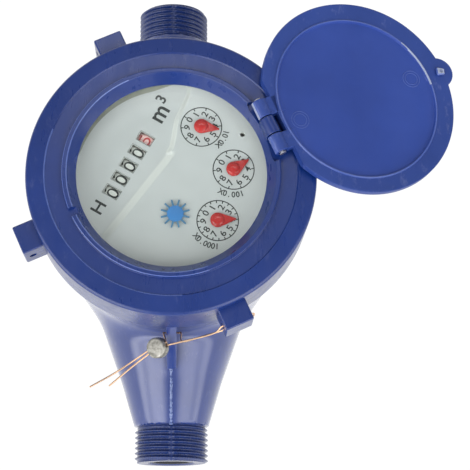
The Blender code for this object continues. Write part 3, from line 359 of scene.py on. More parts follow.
def dress(obj, mat, body, nodes=()):
    """Gives the object its material, the body it rides on and the CAD nodes it replaces."""
    obj.data.materials.clear()
    obj.data.materials.append(mat)
    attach(obj, body)
    if nodes:
        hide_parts(*nodes)
    return obj


def polar(radius, azimuth):
    return Vector((radius * math.cos(azimuth), radius * math.sin(azimuth)))


# Materials

ring_mat = blue_plastic("ring_plastic", linear(8, 42, 110), 0.26, coat=0.25, scuffs=0.12)
body_mat = blue_plastic("body_plastic", linear(24, 50, 118), 0.28, wave=0.45, coat=1.0, scuffs=0.15)
lid_mat = blue_plastic("lid_plastic", linear(36, 63, 142), 0.34, wave=0.06)
thread_mat = blue_plastic("thread_plastic", linear(22, 44, 100), 0.22, wave=0.05, coat=0.25)
lid_border_mat = blue_plastic("lid_border_plastic", linear(33, 60, 132), 0.36, wave=0.35, scuffs=0.28)
# Pale blue for bright spots on the lid: painted glints.
lid_glint_mat = blue_plastic("lid_glint_plastic", linear(148, 158, 184), 0.3, wave=0.3, coat=0.3)
# Lighter blue on the lid's ridge crest, the ears' backs and the pin marks: painted highlight, with scuffs.
lid_edge_highlight_mat = blue_plastic("lid_edge_highlight_plastic", linear(64, 86, 156), 0.28, wave=0.2, coat=0.2, scuffs=0.2)
crease_mat = blue_plastic("crease_plastic", linear(30, 44, 88), 0.4)
# Lighter blue for thin lines on the ring's edges: painted highlight.
ring_highlight_mat = blue_plastic("ring_highlight_plastic", linear(82, 102, 164), 0.22, wave=0.1, coat=0.6)
seam_mat = blue_plastic("seam_plastic", linear(84, 104, 158), 0.30, wave=0.8, coat=1.0)
white_mat = plain("white_plastic_look", linear(214, 214, 208), 0.45)
cup_mat = plain("cup_look", linear(170, 169, 156), 0.5)
# Greyer and darker than the dial, for a band at its rim: painted shade of the ring.
rim_shade_mat = plain("rim_shade_look", linear(158, 161, 147), 0.6, drift=0.15)
frame_mat = plain("frame_line_look", linear(118, 126, 122), 0.6, drift=0.1)
ink_mat = plain("ink_look", linear(30, 38, 36), 0.6, drift=0.2)
red_ink_mat = plain("red_ink_look", linear(196, 70, 72), 0.6, drift=0.1)
drum_mat = plain("drum_look", linear(232, 235, 229), 0.5)
pink_mat = plain("red_drum_look", linear(246, 206, 202), 0.5)
red_mat = plain("pointer_look", linear(192, 30, 28), 0.14, depth=0.01)
star_mat = plain("star_look", linear(52, 130, 200), 0.35, depth=0.02)
ray_mat = plain("ray_look", linear(70, 128, 166), 0.4, depth=0.02)
rubber_mat = plain("rubber_look", (0.02, 0.02, 0.02), 0.7)
steel_mat = plain("steel_look", (0.62, 0.63, 0.66), 0.28, metallic=1.0)
magnet_mat = plain("magnet_look", (0.06, 0.06, 0.065), 0.4, metallic=0.5)
copper_mat = plain("copper_look", linear(236, 196, 158), 0.34, metallic=1.0, grain=2500)
dark_mat = plain("dark_plastic_look", (0.04, 0.04, 0.045), 0.5)


def dial_material():
    """Pale grey-green plastic, with painted light towards the rim and a painted highlight where the surface
    slopes.
    """
    n = Nodes("dial_look")
    flat = n.mix(n.span(n.noise(160, 3), 0.3, 0.7), linear(194, 199, 198), linear(199, 204, 203))
    radius = n.new("ShaderNodeVectorMath")
    radius.operation = "LENGTH"
    n.link(n.place(), radius.inputs[0])
    # Lighter towards the rim: painted light against the shade of the ring.
    rim = n.span(radius.outputs["Value"], 0.094, 0.098)  # metres from the origin, in the base
    normal = n.new("ShaderNodeSeparateXYZ", Vector=n.new("ShaderNodeNewGeometry").outputs["Normal"])
    # Lighter where the surface slopes: painted highlight on the step's ramp.
    slope = n.span(normal.outputs["Z"], 0.9985, 0.965)
    n.feed(n.shader, Base_Color=n.mix(slope, n.mix(rim, flat, linear(230, 234, 232)), linear(226, 230, 225)),
           Roughness=n.span(n.noise(1500, 2), 0.3, 0.7, 0.36, 0.48),
           Normal=n.bump(n.noise(1500, 3), 0.03, 0.0001))
    return n.mat


def lead_material():
    """Dull cast lead with a rough skin."""
    n = Nodes("lead_look")
    patches = n.span(n.noise(600, 4, 0.7), 0.35, 0.65)
    n.feed(n.shader, Base_Color=n.mix(patches, linear(112, 111, 104), linear(176, 174, 166)),
           Roughness=n.span(n.noise(900, 3), 0.3, 0.7, 0.32, 0.6),
           Normal=n.bump(n.noise(500, 4, 0.6), 0.6, 0.0002), Metallic=0.7)
    return n.mat


def glass_material():
    """Clear glass that lets the light through to the dial without bending it."""
    n = Nodes("glass_look")
    n.feed(n.shader, Base_Color=(0.96, 0.985, 0.975, 1.0), Transmission_Weight=1.0, IOR=1.46,
           Roughness=n.span(n.noise(25, 3), 0.45, 0.8, 0.0, 0.03))
    rays = n.new("ShaderNodeLightPath").outputs
    either = n.math("MAXIMUM", rays["Is Shadow Ray"], rays["Is Diffuse Ray"])
    clear = n.new("ShaderNodeBsdfTransparent", Color=(0.97, 0.985, 0.98, 1.0))
    n.link(n.mix_shader(either, n.shader, clear), n.surface)
    return n.mat


dial_mat = dial_material()
lead_mat = lead_material()
glass_mat = glass_material()


# Camera at the photograph's place

CAMERA_AT = Vector((2.596, -120.653, 476.708)) * MM
TILT, PAN, ROLL = (math.radians(a) for a in (14.911, 2.62, -0.42))
LENS = 95.75


def make_camera():
    data = bpy.data.cameras.new("camera")
    data.sensor_width = 36
    data.lens = LENS
    data.clip_start = 0.01
    data.clip_end = 20
    cam = new_object("camera", data)
    turned = Matrix.Rotation(-PAN, 4, "Y") @ Matrix.Rotation(TILT, 4, "X") @ Matrix.Rotation(ROLL, 4, "Z")
    cam.matrix_world = Matrix.Translation(CAMERA_AT) @ turned
    bpy.context.scene.camera = cam


# Head ring

BARREL, PIN_HOLE = 2.38, 1.4  # radii at the hinge
EAR_GAP = 3.2  # half the room between the lid's ears
LUG_HALF = 4.7
LUG_HOLE = (49.9, 0, 91)  # its middle, before the lug is turned to its azimuth
LUG_HOLE_RADIUS = 1.2
LUG_AZIMUTHS = [HINGE_AZ + TURN / 4 * i for i in (1, 2, 3)]


def hinge_frame(obj):
    return at(obj, HINGE, spin=HINGE_AZ + TURN / 2)


def barrel(name, radius, near, far, count=40, bevel=0.0):
    """A cylinder along the hinge's axis."""
    return at(disc(name, radius, near, far, count, bevel), tilt=quarter("X", -1))


def make_ring():
    """The ring with its step, its lip round the window, three lugs and the middle knuckle."""
    points = [(46, 81), (46, 101), (40.05, 102), (39.7, 101.6), (34.4, 101.6), (34.4, 103.2), (32.9, 103.2),
              (30.2, 99.05), (30.2, 98.6), (36.6, 98.6), (36.6, 89.3), (42.3, 89.3), (42.3, 81)]
    radii = [0.4, 1.3, 0.15, 0.12, 0.25, 0.4, 0.4, 0.2, 0.15, 0, 0, 0, 0.3]
    ring = lathe("head_ring_shell", rounded(points, radii, 4), 216)
    for azimuth in LUG_AZIMUTHS:
        join(ring, at(lug(), spin=azimuth))
    relief = block("relief", (-3.2, -10.6, -3.4), (3.2, 10.6, 2.0), 0.3)
    cut(ring, hinge_frame(relief))
    foot = block("foot", (-2.4, -2.9, -3.9), (2.4, 2.9, 0.0), 0.2)
    knuckle = join(barrel("knuckle", BARREL, -2.9, 2.9, 40, 0.3), foot)
    cut(knuckle, barrel("hole", PIN_HOLE, -12, 12, 24))
    join(ring, hinge_frame(knuckle))
    notch = block("notch", (29.9, -1.4, 101.6), (34.6, 1.4, 104.2))
    cut(ring, at(notch, spin=HINGE_AZ + TURN / 2))
    dress(weighted(ring), ring_mat, HOUSING, ["head_ring"])
    # Thin lighter lines on the step and the lip: painted highlights.
    rub(ring, ring_highlight_mat, worn_ring_edge)


def rub(obj, material, lit_edge):
    """Gives the chosen faces a lighter material: painted highlights on edges."""
    obj.data.materials.append(material)
    for face in obj.data.polygons:
        x, y, z = (c / MM for c in face.center)
        if lit_edge(math.hypot(x, y), z, math.degrees(math.atan2(y, x)) % 360):
            face.material_index = 1


def worn_ring_edge(r, z, azimuth):
    """Painted highlights on the step and the lip, on the side away from the hinge."""
    step = 39.75 < r < 40.35 and z > 101.55 and 160 < azimuth < 275
    lip = (r < 33.2 and z > 102.6) or (34.12 < r < 34.5 and z > 102.9)
    return step or (lip and 115 < azimuth < 290)


def lug():
    """A seal lug: a block with softened edges and a cross hole."""
    piece = block("lug", (44, -LUG_HALF, 85), (52.6, LUG_HALF, 97), 0.5, 3)
    hole = disc("hole", LUG_HOLE_RADIUS, -10, 10, 20)
    return cut(piece, at(hole, LUG_HOLE, tilt=quarter("X")))


# Lid, made shut in the hinge's frame and turned open

LID_CENTRE = (32.7, 0.36)
LID_HALVES = (32.4, 33.8)
RIDGE_CENTRE = (31.6, 0.8)
RIDGE_HALVES = (27.0, 28.0)
TAB_CENTRE = (63.0, 1.5)
LID_LOW, LID_HIGH = -1.5, 1.2
CHORD = 3.9  # the lid is cut straight at its hinge
EAR_OUT = 9.2
# The last two zones are painted light: lighter edges and pale glints.
LID_PLATE, LID_BORDER, LID_EDGE_HIGHLIGHT, LID_GLINT = range(4)


def oval_loft(name, rings, segments=220):
    """A closed body through ovals (centre, halves, offset, height), from pole to pole."""
    verts = []
    for centre, halves, grow, z in rings:
        for k in range(segments):
            angle = TURN * k / segments
            verts.append((centre[0] + (halves[0] + grow) * math.cos(angle),
                          centre[1] + (halves[1] + grow) * math.sin(angle), z))
    faces = bands(len(rings), segments)
    for ring in (0, len(rings) - 1):
        first = ring * segments
        faces += [(len(verts), first + k, first + (k + 1) % segments) for k in range(segments)]
        verts.append((*rings[ring][0], rings[ring][3]))
    return mesh_object(name, verts, faces)


def open_lid(obj):
    """From shut, about the hinge, to the lid's place at rest."""
    obj.data.transform(Matrix.Rotation(-OPEN_TURN, 4, "Y"))
    return hinge_frame(obj)


def make_lid():
    """The lid with its ridge, two ears, tab and catch, and the marks of the ejector pins."""
    low, high = LID_LOW, LID_HIGH
    plate = low + 0.3
    rings = [(RIDGE_CENTRE, RIDGE_HALVES, g, plate) for g in (-24, -18, -12, -6, -2)]
    rings += [(RIDGE_CENTRE, RIDGE_HALVES, g, z) for g, z in (
        (-0.75, plate), (-0.5, plate - 0.06), (-0.34, low - 0.2), (-0.2, low - 0.48), (0.0, low - 0.55),
        (0.2, low - 0.48), (0.34, low - 0.3), (0.44, low - 0.06), (0.65, low))]
    rings += [(LID_CENTRE, LID_HALVES, g, z) for g, z in (
        (-0.9, low), (-0.35, low), (-0.12, low + 0.08), (0.0, low + 0.3), (0.0, high - 0.6),
        (-0.1, high - 0.3), (-0.3, high - 0.1), (-0.6, high), (-4, high), (-14, high), (-25, high))]
    lid = oval_loft("lid_shell", rings)
    cut(lid, block("chord", (-40, -40, -20), (CHORD, 40, 20)))
    for near, far in ((EAR_GAP, EAR_OUT), (-EAR_OUT, -EAR_GAP)):
        arm = block("arm", (0, near, low), (7, far, high), 0.35)
        ear = join(barrel("ear", BARREL, near, far, 40, 0.35), arm)
        cut(ear, barrel("hole", PIN_HOLE, -20, 20, 24))
        join(lid, ear)
    tab_points = [(0, low + 0.04), (5.4, low + 0.04), (5.4, high - 0.1), (0, high - 0.1)]
    tab = lathe("tab", rounded(tab_points, [0, 0.5, 0.7, 0], 3), 64)
    join(lid, at(tab, (*TAB_CENTRE, 0)))
    catch = prism("catch", [(-1.5, -1.4), (1.3, -1.1), (1.3, 1.1), (-1.5, 1.4)], low - 1.1, low + 1, 0.35, 1)
    cut(catch, disc("dimple", 0.6, low - 2, low - 0.6, 16))
    join(lid, at(catch, (63.6, 1.75, 0), spin=0.35))
    lid = weighted(lid)
    for mat in (lid_mat, lid_border_mat, lid_edge_highlight_mat, lid_glint_mat):
        lid.data.materials.append(mat)
    for face in lid.data.polygons:
        face.material_index = lid_zone(*(c / MM for c in face.center))
    open_lid(lid)
    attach(lid, "lid_body")
    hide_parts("lid")
    marks = [at(torus("mark", radius, 0.09), (x, y, plate))
             for x, y in ((52.9, 0.6), (9.9, 1.5)) for radius in (2.1, 2.9)]
    # The marks' rings are lighter than the lid: painted highlight.
    dress(open_lid(merged("lid_marks", marks)), lid_edge_highlight_mat, "lid_body")


def lid_zone(x, y, z):
    """Which of the lid's materials a face wears, in the frame of the shut lid."""
    streak = LID_LOW - 0.08 - 0.47 * abs((y + 1.5) / 11.5) ** 1.5
    # A pale streak on the inner side of the ridge: painted glint.
    if 52 < x < 60 and -13 < y < 4.5 and z < streak:
        return LID_GLINT
    # The ears' round backs are lighter: painted highlight, with a painted glint on one side.
    if x < -2.0:  # the ears' round backs
        return LID_GLINT if x < -2.25 and y < 0 else LID_EDGE_HIGHLIGHT
    # The ridge's crest is lighter: painted highlight. The catch gets a painted glint.
    if z < LID_LOW - 0.38 and x > CHORD:
        return LID_GLINT if x > TAB_CENTRE[0] + 0.4 else LID_EDGE_HIGHLIGHT
    ridge = math.hypot((x - RIDGE_CENTRE[0]) / RIDGE_HALVES[0], (y - RIDGE_CENTRE[1]) / RIDGE_HALVES[1])
    return LID_BORDER if ridge > 1.0 else LID_PLATE


def torus(name, radius, thick):
    return lathe(name, circle(thick, 8, (radius, 0)), 64, 80)


def weighted(obj):
    """Normals weighted by face area, so that Boolean faces don't streak."""
    shade(obj, 32)
    step = obj.modifiers.new("normals", "WEIGHTED_NORMAL")
    step.keep_sharp = True
    step.weight = 100
    return apply_all(obj)


# Meter body: a smooth blend of the bowl and the two necks

NECK_AT = (18.0, 56.9, NECK_END)
NECK_RADII = (31.46, 17.6, 12.95)
AXIS = -60  # an outline's inner side, well beyond the axis it turns about
BASE_RADIUS = 26.5  # of the flat the meter stands on
BELLY = 14.0
BLEND = 5.0
STANDING = 0.02  # lowest height of the body's shell
CALIPER = 0.02  # half the span over which slopes are measured


def neck_radius(distance):
    """The neck tapers a little less towards its end."""
    return float(np.interp(distance, NECK_AT, NECK_RADII))


def outline_distance(points, a, b):
    """Signed distance from (a, b) to a closed outline, negative inside."""
    best = np.full(a.shape, 1e9)
    inside = np.zeros(a.shape, bool)
    for (x0, y0), (x1, y1) in zip(points, points[1:] + points[:1]):
        dx, dy = x1 - x0, y1 - y0
        t = np.clip(((a - x0) * dx + (b - y0) * dy) / (dx * dx + dy * dy), 0, 1)
        best = np.minimum(best, (a - x0 - t * dx) ** 2 + (b - y0 - t * dy) ** 2)
        crosses = (y0 > b) != (y1 > b)
        if dy:
            inside ^= crosses & (a < x0 + (b - y0) * dx / dy)
    return np.where(inside, -1, 1) * np.sqrt(best)


def bowl_points():
    """Radius and height round the bowl, from the axis at the base."""
    points = [(AXIS, 0), (BASE_RADIUS, 0)]
    for i in range(1, 13):
        angle = TURN / 4 * i / 12
        points.append((BASE_RADIUS + BELLY * math.sin(angle), PIPE_Z - PIPE_Z * math.cos(angle)))
    return points + [(43.67, 80.2), (AXIS, 80.2)]


def neck_points():
    """Radius and distance from the middle along a neck."""
    return [(AXIS, NECK_AT[0]), *zip(NECK_RADII, NECK_AT), (AXIS, NECK_AT[-1])]


def blend_union(a, b, k):
    """Union of two distances with a fillet of about k."""
    h = np.clip(0.5 + 0.5 * (b - a) / k, 0, 1)
    return b * (1 - h) + a * h - k * h * (1 - h)


def body_distance(x, y, z):
    """Signed distance to the body's outside, 0.1 out of the blend and cut off at its foot."""
    bowl = outline_distance(bowl_points(), np.hypot(x, y), z)
    neck = outline_distance(neck_points(), np.hypot(x, z - PIPE_Z), np.abs(y))
    return np.maximum(blend_union(bowl, neck, BLEND) - 0.1, STANDING - z)


def surface_net(distance, low, high, step):
    """Vertices and quads on the zero level of a distance function."""
    axes = [np.arange(l, h + step, step) for l, h in zip(low, high)]
    value = distance(*np.meshgrid(*axes, indexing="ij"))
    cells = [n - 1 for n in value.shape]
    sign = value < 0
    total = np.zeros((*cells, 3))
    count = np.zeros(cells)
    # Each cell's vertex is the mean of the crossings on its twelve edges
    for a in [(i, j, k) for i in (0, 1) for j in (0, 1) for k in (0, 1)]:
        for axis in range(3):
            if a[axis]:
                continue
            b = tuple(1 if i == axis else a[i] for i in range(3))
            va, vb = (value[tuple(slice(c, c + n) for c, n in zip(corner, cells))] for corner in (a, b))
            cross = (va < 0) != (vb < 0)
            t = np.where(cross, va / np.where(cross, va - vb, 1), 0)
            for i in range(3):
                part = np.full(va.shape, float(a[i]))
                if i == axis:
                    part = part + t
                total[..., i] += np.where(cross, part, 0)
            count += cross
    active = count > 0
    index = np.full(active.shape, -1)
    index[active] = np.arange(active.sum())
    where = np.argwhere(active)
    base = np.stack([axes[i][where[:, i]] for i in range(3)], axis=1)
    verts = base + step * total[active] / count[active][:, None]
    faces = []
    # Each grid edge that crosses the surface gets a quad between its four cells
    for axis in range(3):
        u, v = (axis + 1) % 3, (axis + 2) % 3
        one = [slice(None)] * 3
        two = [slice(None)] * 3
        one[axis] = slice(0, -1)
        two[axis] = slice(1, None)
        cross = sign[tuple(one)] != sign[tuple(two)]
        points = np.argwhere(cross)
        keep = (points[:, u] > 0) & (points[:, v] > 0)
        keep &= (points[:, u] < cells[u]) & (points[:, v] < cells[v])
        points = points[keep]
        quad = []
        for du, dv in ((-1, -1), (0, -1), (0, 0), (-1, 0)):
            p = points.copy()
            p[:, u] += du
            p[:, v] += dv
            quad.append(index[p[:, 0], p[:, 1], p[:, 2]])
        quad = np.stack(quad, axis=1)
        flip = ~sign[tuple(one)][tuple(points.T)]
        quad[flip] = quad[flip][:, ::-1]
        faces += quad.tolist()
    # The vertices are drawn onto the surface
    for _ in range(4):
        d = distance(*verts.T)
        slope = np.stack([distance(*(verts + e).T) - distance(*(verts - e).T) for e in np.eye(3) * CALIPER],
                         axis=1) / (2 * CALIPER)
        size = np.maximum((slope ** 2).sum(axis=1), 0.2)
        verts = verts - np.clip(d / size, -0.3, 0.3)[:, None] * slope
    return verts.tolist(), faces


def channel(side, drop):
    """The bore and the way from it into a gallery."""
    count = 40
    verts = []
    for distance, height, radius in ((74, 0, BORE), (69, 0, BORE), (32.8, drop, 8.6)):
        verts += [(x, side * distance, z) for x, z in circle(radius, count, (0, PIPE_Z + height))]
    faces = bands(3, count) + [list(range(count)), list(range(2 * count, 3 * count))]
    return mesh_object("channel", verts, faces)


def make_body():
    """Bowl, necks and spigot, hollow inside, with the threads, the rib and the mould lines."""
    step = 1.15
    verts, faces = surface_net(body_distance, (-47, -74, -4), (47, 74, 84), step)
    body = mesh_object("body_shell", verts, faces, 60)
    collar = [(0, 72), (42.85, 72), (43.69, 78), (43.88, 80.6), (42, 80.6), (42, 89), (0, 89)]
    join(body, lathe("spigot", rounded(collar, [0, 0, 0, 0.5, 0, 0.4, 0], 3), 216))
    inside = [(0, 5), (25, 5), (29, 7.5), (33, 13), (36, 22), (36.7, 26), (29.3, 26), (29.3, 30), (37.2, 30),
              (37.2, 62), (39, 62), (39, 90), (0, 90)]
    cut(body, lathe("galleries", inside, 96))
    for side in (-1, 1):
        cut(body, channel(side, 13.5 * side))
    dress(shade(body, 40), body_mat, HOUSING, ["meter_body"])
    for side in (-1, 1):
        make_thread(side)
    make_rib()
    make_seam()
    make_crease()


PITCH = 1.814
CREST, ROOT = 12.87, 11.95
THREAD_START, SHOULDER = 72.0, 72.8
SEAM_X = 0.1  # of the mould's flat along the top of the thread


def make_thread(side):
    """A helical pipe thread with rounded crests, its run-out, the end face and the bore."""
    count, rows = 160, 150
    verts = []
    for i in range(rows + 1):
        y = THREAD_START + (PIPE_END - THREAD_START) * i / rows
        fade = min(1.0, max(0.0, (y - SHOULDER) / 0.9)) * min(1.0, max(0.0, (PIPE_END - y) / 0.45))
        for k in range(count):
            angle = TURN * k / count
            wave = 0.5 + 0.5 * math.cos(TURN * (y / PITCH - k / count))
            shape = max(0.0, (wave - 0.1) / 0.9) ** 1.25
            if abs(ROOT * math.cos(angle) - SEAM_X) < 0.75 and math.sin(angle) > 0:
                shape = 0.30 + 0.25 * shape
            radius = ROOT + (CREST - ROOT) * shape * fade
            verts.append((radius * math.cos(angle), y, radius * math.sin(angle)))
    rims = [(ROOT - 0.35, PIPE_END), (BORE + 0.8, PIPE_END), (BORE, PIPE_END - 0.8), (BORE, THREAD_START)]
    for radius, y in rims:
        verts += [(x, y, z) for x, z in circle(radius, count)]
    last = len(verts) - count
    faces = bands(rows + 1 + len(rims), count)
    faces += [(last + k, last + (k + 1) % count, (k + 1) % count, k) for k in range(count)]
    piece = mesh_object("thread_%s" % ("inlet" if side < 0 else "outlet"), verts, faces, 50)
    at(piece, (0, 0, PIPE_Z), spin=0 if side > 0 else TURN / 2)
    dress(shade(piece, 50), thread_mat, HOUSING)


EYE = (0, -45.3, 68)  # of the rib, for the seal wire


def make_rib():
    """The web under the ring on the inlet neck, with the eye for the wire."""
    outline = [(-41, 46), (-54.5, 46.5), (-54.5, 50.3), (-44.4, 76.8), (-41, 76.8)]
    web = prism("seal_rib", rounded(outline, [0, 0, 1.2, 0.5, 0], 3), -1.7, 1.7, 0.35)
    web.data.transform(Matrix(((0, 0, 1), (1, 0, 0), (0, 1, 0))).to_4x4())  # x, y, z to y, z, x
    cut(web, at(disc("eye", 1.2, -4, 4, 20), EYE, tilt=quarter("Y")))
    dress(shade(web), body_mat, HOUSING)


SEAM_FROM, SEAM_TO = 54.0, 72.9
CREASE_FROM = 45.0


def make_seam():
    """The ragged flash line along the top of the inlet neck, up to the thread."""
    rng = np.random.default_rng(11)
    rows, across, margin = 150, 9, 20
    ragged = [np.convolve(rng.normal(0, 1, rows + 2 * margin), kernel, "same")[margin:margin + rows + 1]
              for kernel in (np.ones(5) / 5, np.ones(4) / 4, np.ones(6) / 4)]
    verts = []
    for i, (left, right, lift) in enumerate(zip(*ragged)):
        y = SEAM_FROM + (SEAM_TO - SEAM_FROM) * i / rows
        radius = neck_radius(y) - 0.15
        left = -0.72 + 0.2 * left
        right = 0.42 + 0.25 * right
        for j in range(across):
            u = j / (across - 1)
            x = left + (right - left) * u
            height = -0.2
            if 0 < j < across - 1:
                height = 0.42 * math.sin(math.pi * u) ** 0.5 * (1 + 0.4 * lift)
            verts.append((x, -y, PIPE_Z + math.sqrt(radius ** 2 - x * x) + height))
    seam = mesh_object("mould_seam", verts, bands(rows + 1, across, closed=False), 60)
    dress(seam, seam_mat, HOUSING)


def make_crease():
    """A fine mould line on the inlet neck, right of the seam."""
    verts = []
    rows = 60
    for i in range(rows + 1):
        along = (NECK_END - CREASE_FROM) * i / rows
        y = CREASE_FROM + along
        radius = neck_radius(y)
        for side, lift in ((-0.11, -0.1), (0.0, 0.07), (0.11, -0.1)):
            x = 10.1 - 0.0264 * along + side
            verts.append((x, -y, PIPE_Z + math.sqrt(radius ** 2 - x * x) + lift))
    crease = mesh_object("mould_crease", verts, bands(rows + 1, 3, closed=False), 60)
    dress(crease, crease_mat, HOUSING)


# Dial: one relief with the sunk number field, and the printing on it

DIAL_Z, FIELD_Z = 92.2, 91.3
DIAL_RADIUS = 33.6
DIAL_GRID = 0.48
DRUM_PITCH = 5.22
DRUMS = [-2.7 + (i - 2) * DRUM_PITCH for i in range(5)]  # places along the drum line
DRUM_LINE, DRUM_Z = 13.8, 83.3
DRUM_RADIUS = 6.8
WINDOW_U = (-1.65, 1.5)  # along the line, from a drum's place
WINDOW_V = (11.9, 17.0)  # across it, from the dial's middle
S_CURVE = [(4.9, 36.0), (4.43, 29.11), (2.6, 24.6), (0.9, 21.0), (0.25, 18.0), (-0.15, 14.6), (-0.9, 11.0),
           (-3.4, 7.2), (-22.28, -18.04), (-36, -36.4)]
SUB_DIALS = [tuple(polar(20.1, math.radians(a))) for a in (-43.2, 9.4, 62.0)]
STAR = tuple(polar(11.8, math.radians(-84.4)))


def to_page(u, v):
    """From along and across the drum line to x, y."""
    t = polar(1, DRUM_AZ)
    return (t.x * u - t.y * v, t.y * u + t.x * v)


def signed_to_curve(x, y):
    """Distance to the field's edge: positive on the raised side."""
    best, sign = 1e9, 1
    for (x0, y0), (x1, y1) in zip(S_CURVE, S_CURVE[1:]):
        dx, dy = x1 - x0, y1 - y0
        t = max(0, min(1, ((x - x0) * dx + (y - y0) * dy) / (dx * dx + dy * dy)))
        d = math.hypot(x - x0 - t * dx, y - y0 - t * dy)
        if d < best:
            best = d
            sign = -1 if dx * (y - y0) - dy * (x - x0) < 0 else 1
    return best * sign


def smooth_step(x):
    x = max(0.0, min(1.0, x))
    return x * x * (3 - 2 * x)


def dial_height(x, y):
    """The step is soft beside the sub-dials and steeper at the numbers."""
    ramp = 3.4 if y < 9 else 1.5
    return FIELD_Z + (DIAL_Z - FIELD_Z) * smooth_step(signed_to_curve(x, y) / ramp)


def make_dial():
    """A grid along the drum line, with lines on the windows' edges, made solid."""
    grid = {round(DIAL_GRID * i, 3) for i in range(-70, 71)}
    us = sorted(grid | {round(along + side, 3) for along in DRUMS for side in WINDOW_U})
    vs = sorted(grid | set(WINDOW_V))
    index, verts, faces = {}, [], []
    for i, u in enumerate(us):
        for j, v in enumerate(vs):
            if math.hypot(u, v) < DIAL_RADIUS + 0.1:
                x, y = to_page(u, v)
                index[i, j] = len(verts)
                verts.append((x, y, dial_height(x, y)))
    for i in range(len(us) - 1):
        for j in range(len(vs) - 1):
            mu, mv = (us[i] + us[i + 1]) / 2, (vs[j] + vs[j + 1]) / 2
            if any(WINDOW_U[0] < mu - a < WINDOW_U[1] for a in DRUMS) and WINDOW_V[0] < mv < WINDOW_V[1]:
                continue
            corners = [(i, j), (i + 1, j), (i + 1, j + 1), (i, j + 1)]
            if all(c in index for c in corners):
                faces.append([index[c] for c in corners])
    dial = mesh_object("dial_relief", verts, faces, 50)
    solid = dial.modifiers.new("thick", "SOLIDIFY")
    solid.thickness = 0.85 * MM
    solid.offset = -1
    apply_all(dial)
    for place, radius in [(p, 0.95) for p in (*SUB_DIALS, STAR)] + [((22.8, 15.2), 0.75)]:
        cut(dial, at(disc("hole", radius, 88, 94, 24), (*place, 0)))
    dress(shade(dial, 50), dial_mat, HOUSING, ["dial"])


CAPITAL, LIFT = 0.69, 0.041  # of the font: capital height, and how high it sits, over its size


def text_outline(body, height, stretch=1.0, weight=0.018):
    """Filled letters of a given capital height as vertices and triangles about their middle."""
    size = height / CAPITAL
    curve = bpy.data.curves.new("text", "FONT")
    curve.body = body
    curve.size = size
    curve.align_x = curve.align_y = "CENTER"
    curve.resolution_u = 4
    curve.offset = weight * size
    obj = new_object("text", curve)
    mesh = final_mesh(obj)
    mesh.calc_loop_triangles()
    verts = [(v.co.x * stretch, v.co.y - LIFT * size, 0) for v in mesh.vertices]
    faces = [tuple(t.vertices) for t in mesh.loop_triangles]
    bpy.data.objects.remove(obj)
    return verts, faces


class Print:
    """Ink on the dial, laid just over the relief."""

    def __init__(self):
        self.verts, self.faces = [], []

    def add(self, verts, faces, place, angle, over=0.03):
        first = len(self.verts)
        c, s = math.cos(angle), math.sin(angle)
        for x, y, _ in verts:
            px, py = place[0] + x * c - y * s, place[1] + x * s + y * c
            self.verts.append((px, py, dial_height(px, py) + over))
        self.faces += [tuple(first + i for i in f) for f in faces]

    def text(self, body, height, place, angle, stretch=1.0, weight=0.018):
        self.add(*text_outline(body, height, stretch, weight), place, angle)

    def ring(self, centre, radius, width, steps=96):
        verts = [(*around((0, 0), r, TURN * k / steps), 0)
                 for k in range(steps + 1) for r in (radius - width / 2, radius + width / 2)]
        self.add(verts, bands(steps + 1, 2, closed=False), centre, 0)

    def bar(self, centre, angle, near, far, width):
        h = width / 2
        self.add([(near, -h, 0), (far, -h, 0), (far, h, 0), (near, h, 0)], [(0, 1, 2, 3)], centre, angle)

    def make(self, name, mat):
        dress(mesh_object(name, self.verts, self.faces), mat, HOUSING)


SUB_RING, SUB_DIGITS = 6.62, 4.55  # radii of the printed ring and of the digits' circle
SUB_LINE = 0.34
SUB_ZERO = 147.5  # azimuth of the 0, in degrees
# For each sub-dial: its mark, the mark's azimuth, the step between letters, its radius and the ticks
SUB_MARKS = [("X0.0001", -117.5, 8.6, 8.5, 20), ("X0.001", -95.5, 9.4, 8.4, 10),
             ("X0.01", -30, 8.8, 8.25, 10)]


def make_print():
    """The sub-dials' rings, ticks, digits and marks, H, m3, a band of painted shade at the rim and the
    windows' frames.
    """
    ink = Print()
    for centre, (label, middle, step, radius, ticks) in zip(SUB_DIALS, SUB_MARKS):
        ink.ring(centre, SUB_RING, SUB_LINE)
        for k in range(ticks):
            ink.bar(centre, math.radians(SUB_ZERO) + TURN * k / ticks, 5.75, 6.6, SUB_LINE)
        for digit in range(10):
            place = around(centre, SUB_DIGITS, math.radians(SUB_ZERO - 36 * digit))
            ink.text(str(digit), 2.05, place, DRUM_AZ, 1.1, 0.016)
        for k, letter in enumerate(label):
            a = math.radians(middle + (k - (len(label) - 1) / 2) * step)
            ink.text(letter, 1.85, around(centre, radius, a), a + TURN / 4, 0.95, 0.02)
    ink.text("H", 3.9, (-23.35, -9.3), DRUM_AZ, 1.1, 0.014)
    ink.text("m", 5.4, (-4.4, 22.7), DRUM_AZ, 1.0, 0.018)
    ink.text("3", 3.4, (-3.7, 27.6), DRUM_AZ, 1.0, 0.022)
    ink.make("dial_print", ink_mat)
    # A greyer band along the dial's rim at the upper left: painted shade of the ring.
    gap = Print()
    verts = []
    steps = 60
    for k in range(steps + 1):
        a = math.radians(80 + 104 * k / steps)
        inner = 30.8 + 2.7 * (1 - smooth_step(min(k, steps - k) / 14))
        verts += [(*around((0, 0), r, a), 0) for r in (inner, DIAL_RADIUS)]
    gap.add(verts, bands(steps + 1, 2, closed=False), (0, 0), 0)
    gap.make("dial_rim_shade", rim_shade_mat)
    frames = Print()
    for along in DRUMS:
        for (u0, v0), (u1, v1) in frame_sides(along):
            start, end = Vector(to_page(u0, v0)), Vector(to_page(u1, v1))
            way = end - start
            frames.bar(tuple(start), math.atan2(way.y, way.x), 0, way.length, 0.16)
    frames.make("window_frames", frame_mat)


